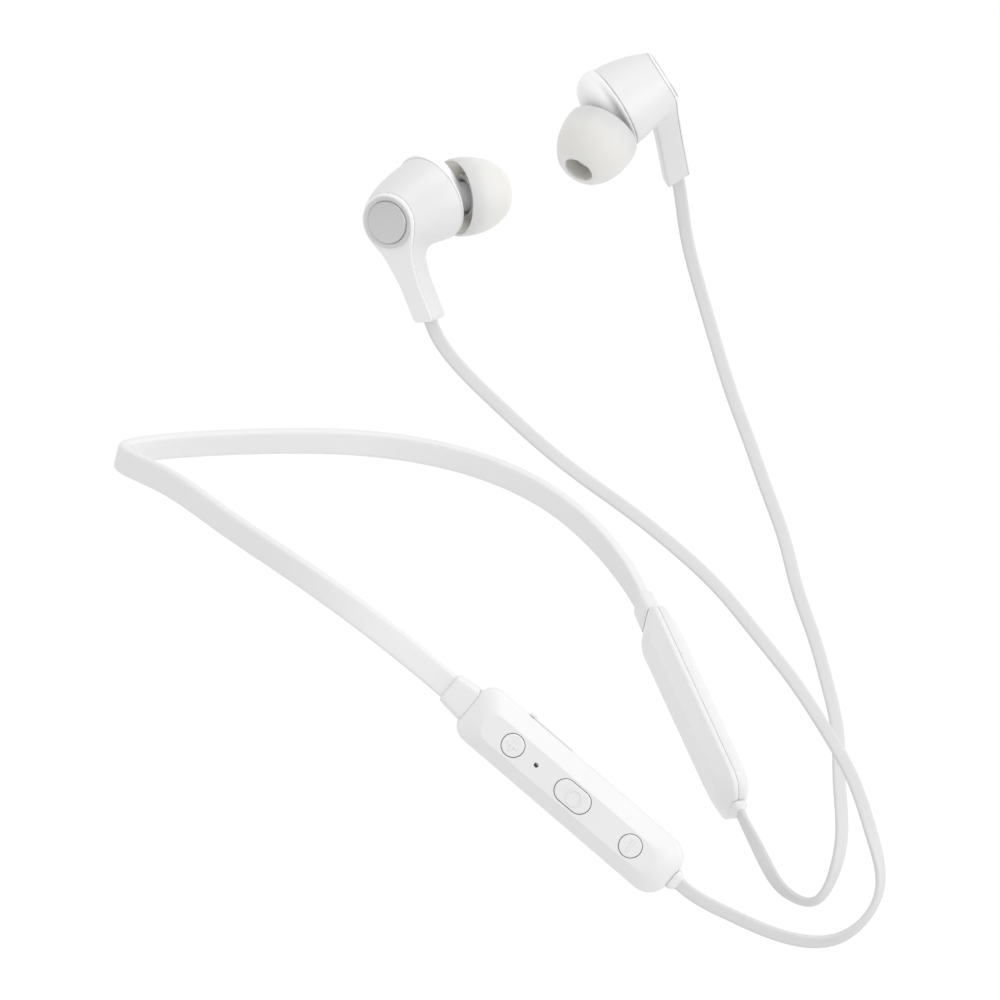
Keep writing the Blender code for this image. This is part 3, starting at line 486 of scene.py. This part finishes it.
# ---------------------------------------------------------------- band
def band_piece():
    """One soft strip from pod to pod that bends at the nape."""
    stand_off = (-SLEEVE_LENGTH + 0.4, 0, 0)
    first, last = place(CONTROL, stand_off)[0], place(BATTERY, stand_off)[0]
    nape = (0, BAND_THICKNESS / 2, 0)
    knots = [first] + NEAR_ARM + [nape] + FAR_ARM + [last]
    centres = spline(knots, BAND_STATIONS, -CONTROL[0][:, 0], BATTERY[0][:, 0])
    ways = np.gradient(centres, axis=0)
    ways /= np.linalg.norm(ways, axis=1)[:, None]
    inward = np.cross(ways, (0, 0, 1.0))
    inward /= np.linalg.norm(inward, axis=1)[:, None]
    angles = np.zeros(BAND_STATIONS)
    index = np.arange(BAND_STATIONS)
    for at, where in ((0, CONTROL), (BAND_STATIONS - 1, BATTERY)):
        target = -where[0][:, 2]
        angle = math.atan2(np.cross(inward[at], target) @ ways[at], inward[at] @ target)
        angles += angle * smoothstep(0, 1, np.clip(1 - np.abs(index - at) / END_TWIST_STATIONS, 0, 1))
    angles += math.radians(LEAN_DEGREES) * smoothstep(LEAN_GONE, LEAN_FULL, np.abs(index - BAND_MIDDLE))
    turned = inward * np.cos(angles)[:, None] + np.cross(ways, inward) * np.sin(angles)[:, None]
    height = np.cross(turned, ways)
    section = outline(-BAND_WIDTH / 2, BAND_WIDTH / 2, BAND_THICKNESS / 2, 0.55, 0.55, arc=5, run=4, cap=2)
    rings = [c + section[:, :1] * h + section[:, 1:] * t for c, h, t in zip(centres, height, turned)]
    made = piece("band", *loft(rings), BAND_WHITE, angle=60)
    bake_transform(made)
    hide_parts("near_band_skin", "far_band_skin")


band_piece()


# ---------------------------------------------------------------- pods
def soft_least(first, second, blend):
    """The smaller of two heights, with a rounded join."""
    gap = np.maximum(blend - np.abs(first - second), 0.0)
    return np.minimum(first, second) - gap * gap / (4 * blend)


def pod_shell(name, sign, where, body, node):
    """A half shell with chamfers that are crisp at the band end and fade at the cable end."""
    rim = outline(0, POD_LENGTH, POD_HALF_WIDTH, POD_START_RADIUS, POD_END_RADIUS)
    face = outline(FACE_START, FACE_END, POD_FACE_HALF, 2.4, 2.4)
    middle = np.stack([np.clip(face[:, 0], FACE_START + 2.4, FACE_END - 2.4), np.zeros(len(face))], 1)
    softness = 0.05 + 0.85 * smoothstep(36, 43.5, rim[:, 0])
    rise = POD_HALF_DEPTH - POD_SIDE_HALF
    seam = POD_SEAM + sign * 0.02

    def skin(u):
        flat = rim + (face - rim) * min(u, 1.0) + (middle - face) * max(0.0, u - 1.0)
        height = soft_least(POD_SIDE_HALF + rise * u, POD_HALF_DEPTH, softness)
        return at_height(flat, sign * height)

    inner = outline(0.9, POD_LENGTH - 0.9, POD_HALF_WIDTH - 0.9, 2.1, 2.9)
    inner_face = outline(FACE_START + 0.3, FACE_END - 0.3, POD_FACE_HALF - 0.2, 2.2, 2.2)
    rings = [at_height(shrunk(rim, 0.09), seam), at_height(shrunk(rim, 0.03), seam + sign * 0.02),
             at_height(rim, seam + sign * 0.08), at_height(rim, sign * (POD_SIDE_HALF - 0.2))]
    start = skin(0.11)
    corner = at_height(rim, sign * POD_SIDE_HALF)
    for s in (0.25, 0.5, 0.75):
        rings.append((1 - s) ** 2 * rings[3] + 2 * s * (1 - s) * corner + s * s * start)
    chamfer = (0.11, 0.13, 0.3, 0.5, 0.7, 0.85, 0.93, 0.965, 0.985)
    flat_face = (1.0, 1.015, 1.035, 1.07, 1.15, 1.3, 1.5, 1.75, 1.96)
    for u in chamfer + flat_face:
        rings.append(skin(u))
    outside = rings[::-1]
    inside = [at_height(inner, seam), at_height(inner, sign * 0.7), at_height(inner_face, sign * 2.0)]
    return piece(name, *loft(outside + inside), SHELL_WHITE, where, body, [node], "white_shell", angle=30)


def slab(where, low, high, half, radius, bottom, top, flare=0.0):
    """A cutter with rounded ends that opens out a little near its top."""
    flat = outline(low, high, half, radius, radius, arc=10, run=6, cap=2)
    rings = [at_height(flat, bottom), at_height(flat, POD_HALF_DEPTH - flare),
             at_height(shrunk(flat, -flare), POD_HALF_DEPTH), at_height(shrunk(flat, -flare), top)]
    return piece("cutter", *loft(rings), SHELL_WHITE, where)


def flap_section(inset, top, bottom, out=0.2):
    slope = (POD_HALF_WIDTH - POD_FACE_HALF) / (POD_HALF_DEPTH - POD_SIDE_HALF)
    low_y = POD_HALF_WIDTH - slope * (-POD_SIDE_HALF - bottom)
    outer, inner = POD_HALF_WIDTH + out, POD_HALF_WIDTH - inset
    return [(outer, top), (outer, -POD_SIDE_HALF + 0.1), (low_y + out, bottom), (low_y - inset, bottom),
            (inner, -POD_SIDE_HALF), (inner, top)]


def flap_cutter(low, high, inset, grow):
    section = flap_section(inset, FLAP_TOP + grow, FLAP_BOTTOM - grow, 0.6)
    rings = [[(x, y, z) for y, z in section] for x in (low, high)]
    return piece("cutter", *loft(rings), SHELL_WHITE, CONTROL)


def block(low, high):
    """Points and faces of a box between two corners."""
    (x0, y0, z0), (x1, y1, z1) = low, high
    rings = [[(x, y0, z0), (x, y1, z0), (x, y1, z1), (x, y0, z1)] for x in (x0, x1)]
    return loft(rings)


def pods():
    front = pod_shell("control_front", 1, CONTROL, "neckband", "control_front_shell")
    rear = pod_shell("control_rear", -1, CONTROL, "neckband", "control_rear_shell")
    holes = []
    middle = (MULTIFUNCTION_AT, MULTIFUNCTION_REACH)
    for at, reach in ((PLUS_AT, BUTTON_RADIUS), middle, (MINUS_AT, BUTTON_RADIUS)):
        half, long = BUTTON_RADIUS + BUTTON_CLEARANCE, reach + BUTTON_CLEARANCE
        holes.append(slab(CONTROL, at - long, at + long, half, half - 0.01, 1.4, 4.0, 0.06))
    holes.append(slab(CONTROL, MICROPHONE_AT - 0.42, MICROPHONE_AT + 0.42, 0.42, 0.41, 1.4, 4.0, 0.05))
    cut(front, *holes, flap_cutter(FLAP_START - 0.06, FLAP_END + 0.06, 0.45, 0.05))
    mouth = piece("cutter", *block((9.5, 2.4, -1.75), (16.9, 6.6, -0.1)), SHELL_WHITE, CONTROL)
    cut(rear, flap_cutter(FLAP_START - 0.06, FLAP_END + 0.06, 0.45, 0.05), mouth)
    pod_shell("battery_front", 1, BATTERY, "far_arm", "battery_front_shell")
    pod_shell("battery_rear", -1, BATTERY, "far_arm", "battery_rear_shell")


pods()


def across_pod(rows, arc=5):
    """Rings across the pod's length from (x, half width, half height, corner radius) rows."""
    rings = []
    for x, half_y, half_z, corner in rows:
        flat = outline(-half_y, half_y, half_z, corner, corner, arc=arc, run=3, cap=2)
        rings.append(np.column_stack([np.full(len(flat), x), flat]))
    return rings


def pod_end_face(half_y, half_z):
    """How far the pod's rounded and chamfered end lies back from its foremost point."""
    over = np.clip(np.abs(half_y) - POD_HALF_WIDTH + POD_START_RADIUS, 0.0, POD_START_RADIUS)
    corner = POD_START_RADIUS - np.sqrt(POD_START_RADIUS ** 2 - over ** 2)
    slope = FACE_START / (POD_HALF_DEPTH - POD_SIDE_HALF)
    return corner + slope * np.maximum(0.0, np.abs(half_z) - POD_SIDE_HALF)


def sleeves_and_glands():
    for side, where, body in (("control", CONTROL, "neckband"), ("battery", BATTERY, "far_arm")):
        sleeve = [(-4.3, 2.2, 0.95, 0.6), (-4.3, 2.5, 1.2, 0.8), (-4.2, 2.62, 1.34, 0.85),
                  (-3.95, 2.72, 1.42, 0.9), (-3.0, 2.84, 1.42, 0.9), (-2.0, 2.96, 1.4, 0.9),
                  (-1.0, 3.08, 1.38, 0.9), (-0.22, 3.14, 1.34, 0.9), (-0.1, 3.08, 1.28, 0.85),
                  (-0.1, 2.9, 1.1, 0.7), (0.9, 2.7, 0.9, 0.6)]
        rings = across_pod(sleeve)
        for ring in rings:
            ring[:, 0] += pod_end_face(ring[:, 1], ring[:, 2]) * smoothstep(-3.5, -0.4, ring[0, 0])
        piece(f"{side}_band_sleeve", *loft(rings), SLEEVE_WHITE, where, body, [f"{side}_sleeve"],
              "soft_skin", angle=50)
        end = POD_LENGTH
        gland = [(end - 1.0, 1.5, 1.0, 0.5), (end + 0.02, 1.5, 1.0, 0.5), (end + 0.05, 1.78, 1.28, 0.9),
                 (end + 0.2, 1.86, 1.34, 0.95), (end + 0.55, 1.8, 1.28, 0.95), (end + 0.9, 1.6, 1.05, 0.85),
                 (end + 1.25, 1.3, 0.72, 0.55), (end + 1.45, 1.18, 0.58, 0.5)]
        piece(f"{side}_cable_gland", *loft(across_pod(gland)), SLEEVE_WHITE, where, body, [f"{side}_gland"],
              "soft_skin", angle=50)


sleeves_and_glands()


# ---------------------------------------------------------------- buttons and flap
def raised(flat, bottom, top, edge=0.05):
    return loft([at_height(flat, bottom), at_height(flat, top - edge), at_height(shrunk(flat, edge), top)])


def ring_sign(radius, width, bottom, top, steps=40):
    rings = []
    for r, z in ((radius - width / 2, bottom), (radius - width / 2, top - 0.05), (radius - width / 4, top),
                 (radius + width / 4, top), (radius + width / 2, top - 0.05), (radius + width / 2, bottom)):
        angles = np.arange(steps) / steps * 2 * math.pi
        rings.append(np.column_stack([r * np.cos(angles), r * np.sin(angles), np.full(steps, z)]))
    return loft(rings, closed=True)


def buttons():
    top = BUTTON_TOP
    for name, at, reach in (("plus", PLUS_AT, BUTTON_RADIUS),
                            ("multifunction", MULTIFUNCTION_AT, MULTIFUNCTION_REACH),
                            ("minus", MINUS_AT, BUTTON_RADIUS)):
        rows = []
        for z, inset in ((1.3, 0.0), (top - 0.22, 0.0), (top - 0.12, 0.02), (top - 0.05, 0.07),
                         (top - 0.01, 0.15), (top, 0.26), (top - 0.01, 0.8), (top - 0.02, 1.4)):
            half, radius = BUTTON_RADIUS - inset, BUTTON_RADIUS - inset - 0.005
            flat = outline(-reach + inset, reach - inset, half, radius, radius, arc=12, run=4, cap=2)
            rows.append(at_height(flat, z))
        cap = loft(rows)
        sign_top = top + 0.1
        if name == "plus":
            bar = outline(-1.05, 1.05, 0.24, 0.1, 0.1, arc=3, run=3, cap=2)
            upright = bar[:, ::-1] * (1, -1)
            sign = together(raised(bar, top - 0.3, sign_top), raised(upright, top - 0.3, sign_top - 0.004))
        elif name == "minus":
            bar = outline(-0.2, 0.2, 1.2, 0.1, 0.1, arc=3, run=2, cap=3)
            sign = raised(bar, top - 0.3, sign_top)
        else:
            points, faces = ring_sign(1.3, 0.3, top - 0.3, sign_top)
            sign = (points + (0.4, 0, 0), faces)
        points, faces = together(cap, sign)
        piece(f"{name}_key", points + (at, 0, 0), faces, BUTTON_WHITE, CONTROL, f"{name}_button",
              [f"{name}_button"], "button_white", angle=40)


buttons()


def flap():
    section = np.array(flap_section(0.16, FLAP_TOP, FLAP_BOTTOM, 0.16))
    centre = section.mean(0)
    rings = []
    for x, grow in ((FLAP_START, 0.9), (FLAP_START + 0.06, 0.97), (FLAP_START + 0.2, 1.0),
                    (FLAP_END - 0.3, 1.0), (FLAP_END - 0.16, 0.97), (FLAP_END - 0.1, 0.9)):
        ring = centre + (section - centre) * grow
        rings.append(np.column_stack([np.full(len(ring), x), ring]))
    body = loft(rings)
    tab_flat = outline(FLAP_START - 0.05, FLAP_START + 1.15, 0.5, 0.25, 0.25, arc=4, run=3, cap=2)
    tab = []
    for out, inset in ((0.0, 0.0), (0.42, 0.0), (0.55, 0.05), (0.62, 0.16)):
        flat = shrunk(tab_flat, inset)
        tab.append(np.column_stack([flat[:, 0], np.full(len(flat), POD_HALF_WIDTH + out), flat[:, 1] - 0.35]))
    piece("charging_flap", *together(body, loft(tab)), SLEEVE_WHITE, CONTROL, "usb_flap", ["usb_flap"],
          "soft_skin", angle=40)


flap()


# ---------------------------------------------------------------- earbuds, as distance fields
def surface(field, low, high, step):
    """A mesh of the surface where a field of points is zero: one point a cell, pulled onto it."""
    axes = [np.arange(low[i], high[i] + step, step) for i in range(3)]
    grid = np.stack(np.meshgrid(*axes, indexing="ij"), -1)
    shape = grid.shape[:3]
    values = field(grid.reshape(-1, 3)).reshape(shape)
    offsets = [(a, b, c) for a in (0, 1) for b in (0, 1) for c in (0, 1)]

    def corner(array, offset):
        return array[tuple(slice(o, n - 1 + o) for o, n in zip(offset, shape))]

    inside = values < 0
    count = sum(corner(inside, offset).astype(int) for offset in offsets)
    mixed = (count > 0) & (count < 8)
    number = -np.ones(mixed.shape, int)
    number[mixed] = np.arange(mixed.sum())
    base = np.argwhere(mixed).astype(float)
    total, hits = np.zeros_like(base), np.zeros(len(base))
    for a in offsets:
        for axis in range(3):
            if a[axis]:
                continue
            b = tuple(1 if i == axis else a[i] for i in range(3))
            first, second = corner(values, a)[mixed], corner(values, b)[mixed]
            crossed = (first < 0) != (second < 0)
            share = first[crossed] / (first[crossed] - second[crossed])
            spot = base[crossed] + np.array(a)
            spot[:, axis] += share
            total[crossed] += spot
            hits[crossed] += 1
    points = np.array(low) + step * total / hits[:, None]
    faces = []
    for axis in range(3):
        one, two = (axis + 1) % 3, (axis + 2) % 3
        low_cut = [slice(1, -1)] * 3
        low_cut[axis] = slice(0, -1)
        high_cut = list(low_cut)
        high_cut[axis] = slice(1, None)
        before, after = inside[tuple(low_cut)], inside[tuple(high_cut)]
        for where, forward in ((before & ~after, True), (~before & after, False)):
            cell = np.argwhere(where)
            cell[:, one] += 1
            cell[:, two] += 1
            corners = []
            for shift_one, shift_two in ((0, 0), (-1, 0), (-1, -1), (0, -1)):
                spot = cell.copy()
                spot[:, one] += shift_one
                spot[:, two] += shift_two
                corners.append(number[spot[:, 0], spot[:, 1], spot[:, 2]])
            quads = np.stack(corners if forward else corners[::-1], 1)
            faces.append(quads)
    faces = np.concatenate(faces)
    tiny = 0.02
    for _ in range(3):
        here = field(points)
        steps = np.eye(3) * tiny
        slope = np.stack([field(points + steps[i]) - field(points - steps[i]) for i in range(3)], 1)
        slope /= 2 * tiny
        move = slope * (here / np.maximum((slope ** 2).sum(1), 0.2))[:, None]
        points = points - np.clip(move, -step / 2, step / 2)
    return points, faces


def join_fields(first, second, blend):
    return soft_least(first, second, blend)


def keep_both(first, second, blend):
    return -soft_least(-first, -second, blend)


def lengths(vectors):
    return np.sqrt((vectors ** 2).sum(1))


def soft_front(y):
    """The stem's front with its bend rounded."""
    return -STEM_LEAN * (np.sqrt((STEM_BEND_AT - y) ** 2 + 1.2) + (STEM_BEND_AT - y)) / 2


def bud_body(points, bud):
    """The whole outer body: a skewed cone that runs into a slim stem."""
    x, y, z = points.T
    rim, rim_normal = bud["rim"], bud["rim_normal"]
    near, far = np.maximum(-z, 0.0), np.maximum((rim - points) @ rim_normal, 0.0)
    share = near / np.maximum(near + far, 0.05)
    centre = share[:, None] * rim
    normal = np.array((0, 0, -1.0)) * (1 - share)[:, None] + rim_normal * share[:, None]
    normal /= lengths(normal)[:, None]
    reach = points - centre
    out = lengths(reach - normal * (reach * normal).sum(1)[:, None])
    fuller = smoothstep(0.3, 0.95, -reach[:, 0] / np.maximum(out, 0.5))
    radius = FACE_RADIUS + (RIM_RADIUS - FACE_RADIUS) * share + (1.5 + 3.2 * fuller) * share * (1 - share)
    cone = 0.93 * (out - radius)
    cone = keep_both(cone, (points - rim) @ rim_normal, 0.25)
    half = STEM_HALF_WIDTH + 0.9 * smoothstep(-12.0, -4.0, y)
    mid = soft_front(y) - STEM_DEPTH / 2
    rounding = STEM_ROUNDING
    side = np.abs(x) - half + rounding
    depth = np.abs(z - mid) * 0.94 - STEM_DEPTH / 2 + rounding
    corner = np.hypot(np.maximum(side, 0), np.maximum(depth, 0))
    stem = np.minimum(np.maximum(side, depth), 0) + corner - rounding
    stem = keep_both(stem, STEM_BOTTOM - y, 1.0)
    stem = keep_both(stem, y, 0.5)
    both = join_fields(cone, stem, 2.4)
    return keep_both(both, 0.94 * (z - soft_front(y)), 0.2)


def bud_seam(y):
    """Depth of the seam between the outer and inner mouldings, behind the front face."""
    return soft_front(y) - SEAM_DEPTH


def outer_moulding(points, bud):
    x, y, z = points.T
    shell = keep_both(bud_body(points, bud), bud_seam(y) + SEAM_HALF_GAP - z, 0.06)
    recess = np.maximum(np.hypot(x, y) - RECESS_RADIUS, RECESS_FLOOR - z)
    return np.maximum(shell, -recess)


def inner_moulding(points, bud):
    x, y, z = points.T
    shell = keep_both(bud_body(points, bud), z - bud_seam(y) + SEAM_HALF_GAP, 0.06)
    reach = points - bud["rim"]
    cavity = np.maximum(lengths(reach) - DRIVER_SPACE, reach @ bud["rim_normal"] - 0.5)
    recess = np.maximum(np.hypot(x, y) - RECESS_RADIUS, RECESS_FLOOR - z)
    return np.maximum(np.maximum(shell, -cavity), -recess)


def nozzle_cap(points, bud):
    """The ear side: a lopsided dome, the nozzle that leaves it at a slant, and a bead round its end."""
    rim, rim_normal = bud["rim"], bud["rim_normal"]
    tip_base, tip_axis = bud["tip_base"], bud["tip_axis"]
    height = (points - rim) @ rim_normal
    flat = points - rim - rim_normal * height[:, None]
    edge = keep_both(lengths(flat) - RIM_RADIUS + 0.04, height - 0.75, 0.9)
    bulge_way = unit(np.array((-0.498, 0.867, 0.017)))
    away = lengths(flat - bulge_way * 1.5)
    power = 2.7
    bulge = ((away / 5.95) ** power + (np.maximum(height, 0) / 4.35) ** power) ** (1 / power) * 4.35 - 4.35
    dome = join_fields(edge, bulge, 0.8)
    along = (points - tip_base) @ tip_axis
    out = lengths(points - tip_base - tip_axis * along[:, None])
    tube = keep_both(out - NOZZLE_RADIUS, np.abs(along - 1.2) - 5.6, 0.3)
    bead = np.hypot(out - NOZZLE_RADIUS, along - 5.9) - 0.42
    whole = join_fields(join_fields(dome, tube, 1.6), bead, 0.2)
    bore = np.maximum(out - NOZZLE_BORE, 2.0 - along)
    whole = np.maximum(whole, -bore)
    return keep_both(whole, 0.05 - height, 0.12)


def from_field(name, field, low, high, step, bud, material, replaces, slot, body, angle=50):
    points, faces = surface(lambda spots: field(spots, bud), low, high, step)
    points = points * (bud["side"], 1, 1)
    return piece(name, points, faces, material, bud_frame(bud), body, replaces, slot, angle)


def lathe(profile, steps=72):
    """Points and faces turned about Z from a closed outline of (radius, height)."""
    angles = np.arange(steps) / steps * 2 * math.pi
    rings = [np.column_stack([r * np.cos(angles), r * np.sin(angles), np.full(steps, z)]) for r, z in profile]
    return loft(rings, closed=True)


def rounded_profile(corners, rounds=3):
    """A closed outline with its corners softened by cutting them, a few times over."""
    line = np.array(corners, float)
    for _ in range(rounds):
        following = np.roll(line, -1, axis=0)
        line = np.stack([line * 0.75 + following * 0.25, line * 0.25 + following * 0.75], 1).reshape(-1, 2)
    return line


def standing(way):
    """A frame whose Z is the given direction, as 3x3 columns."""
    z_axis = unit(way)
    helper = np.array((0.0, 1.0, 0.0))
    x_axis = unit(np.cross(helper, z_axis))
    return np.array((x_axis, np.cross(z_axis, x_axis), z_axis)).T


def in_bud(bud, points, axes, origin):
    """Points of a piece that stands in the bud's frame, mirrored with the bud."""
    local = points @ axes.T + origin
    return local * (bud["side"], 1, 1)


TIP_PROFILE = [
    (2.8, 9.2), (3.6, 8.95), (4.5, 8.1), (5.4, 6.7), (6.05, 5.0), (6.42, 3.2),
    (6.5, 1.4), (6.35, 0.1), (6.15, -0.1), (6.05, 0.6), (6.1, 1.8), (5.7, 2.9),
    (5.0, 3.5), (4.2, 3.6), (3.8, 3.2), (3.65, 1.8), (3.5, 1.5), (3.0, 1.5),
    (2.95, 2.0), (2.95, 7.9), (2.6, 8.4), (2.5, 9.0),
]


def make_bud(prefix, bud, body):
    where = bud_frame(bud)
    step = 0.16
    from_field(f"{prefix}_outer_moulding", outer_moulding, (-6.5, -19.2, -9.5), (6.5, 6.5, 1.2), step, bud,
               OUTER_WHITE, [f"{prefix}_face_plate"], "white_shell", body)
    from_field(f"{prefix}_inner_moulding", inner_moulding, (-6.5, -19.2, -14.3), (12.5, 10.8, 1.0), step,
               bud, INNER_WHITE, [f"{prefix}_housing"], "white_shell", body)
    from_field(f"{prefix}_ear_side_cap", nozzle_cap, (-6.5, -7.5, -21.3), (14.5, 11.0, -4.5), step, bud,
               CAP_WHITE, [f"{prefix}_nozzle_cap"], "white_shell", body)
    bezel = [(4.34, -0.02), (4.33, 0.04), (4.27, 0.07), (4.17, 0.05), (3.7, -0.1), (3.58, -0.16),
             (3.54, -0.8), (4.1, -0.8), (4.1, -0.02)]
    piece(f"{prefix}_grey_ring", *lathe(bezel), BEZEL_GREY, where, body, [f"{prefix}_bezel"], "grey_bezel",
          angle=35)
    disc = [(0.02, 0.12), (3.36, 0.12), (3.44, 0.1), (3.53, -0.04), (3.56, -0.12), (3.56, -0.8), (0.02, -0.8)]
    made = piece(f"{prefix}_spun_disc", *lathe(disc, 96), SPUN_METAL, angle=30)
    axes, origin = where
    made.matrix_world = Matrix.Translation(Vector(origin) * MM) @ Matrix(axes.tolist()).to_4x4()
    settle(made, body, [f"{prefix}_accent_disc"])

    tip_axes = standing(bud["tip_axis"])
    seat = bud["tip_base"] + bud["tip_axis"] * bud["tip_seat"]
    points, faces = lathe(rounded_profile(TIP_PROFILE, 2), 80)
    piece(f"{prefix}_silicone_tip", in_bud(bud, points, tip_axes, seat), faces, SILICONE, where,
          f"{prefix}_ear_tip", [f"{prefix}_ear_tip"], "silicone", angle=60)


make_bud("near", NEAR_BUD, "neckband")
make_bud("far", FAR_BUD, "far_arm")


# ---------------------------------------------------------------- what is carried over from the CAD
CARRIED = {
    "near_spring_wire": STEEL, "far_spring_wire": STEEL, "near_band_lead": COPPER, "far_band_lead": COPPER,
    "main_board": BOARD_GREEN, "protection_board": BOARD_GREEN, "plus_switch": COMPONENT_BLACK,
    "multifunction_switch": COMPONENT_BLACK, "minus_switch": COMPONENT_BLACK, "microphone": STEEL,
    "radio_module": STEEL, "usb_socket": STEEL, "battery_cell": FOIL,
}
for prefix in ("near", "far"):
    CARRIED[f"{prefix}_nozzle_mesh"] = STEEL
    CARRIED[f"{prefix}_driver_frame"] = COMPONENT_BLACK
    CARRIED[f"{prefix}_driver_magnet"] = STEEL
    CARRIED[f"{prefix}_diaphragm"] = FILM
for node, material in CARRIED.items():
    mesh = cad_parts[node].data
    mesh.materials.clear()
    mesh.materials.append(material)


# ---------------------------------------------------------------- studio
def studio():
    world = bpy.data.worlds.new("studio")
    bpy.context.scene.world = world
    world.use_nodes = True
    background = world.node_tree.nodes["Background"]
    background.inputs["Color"].default_value = (1.0, 1.0, 1.0, 1.0)
    background.inputs["Strength"].default_value = 0.97
    bpy.context.scene.view_settings.view_transform = "Standard"

    floor_mesh = bpy.data.meshes.new("floor")
    reach, level = 14.0, -0.25
    corners = [(-reach, -reach, level), (reach, -reach, level), (reach, reach, level), (-reach, reach, level)]
    floor_mesh.from_pydata(corners, [], [(0, 1, 2, 3)])
    floor = bpy.data.objects.new("floor", floor_mesh)
    floor_mesh.materials.append(look("floor_white", (0.84, 0.84, 0.84), 0.9, grain=40, bump=0.0, vary=0.0))
    bpy.context.scene.collection.objects.link(floor)

    lamps = (("side_light", (0.1, -1.0, 0.3), 180.0), ("top_light", (-0.2, -0.3, 1.0), 160.0))
    for name, way, power in lamps:
        data = bpy.data.lights.new(name, "AREA")
        data.shape = "DISK"
        data.size = 6.0
        data.energy = power
        lamp = bpy.data.objects.new(name, data)
        bpy.context.scene.collection.objects.link(lamp)
        direction = Vector(unit(way))
        lamp.location = Vector(CAMERA_TARGET) * MM + direction * 8.0
        lamp.rotation_euler = direction.to_track_quat("Z", "Y").to_euler()


studio()
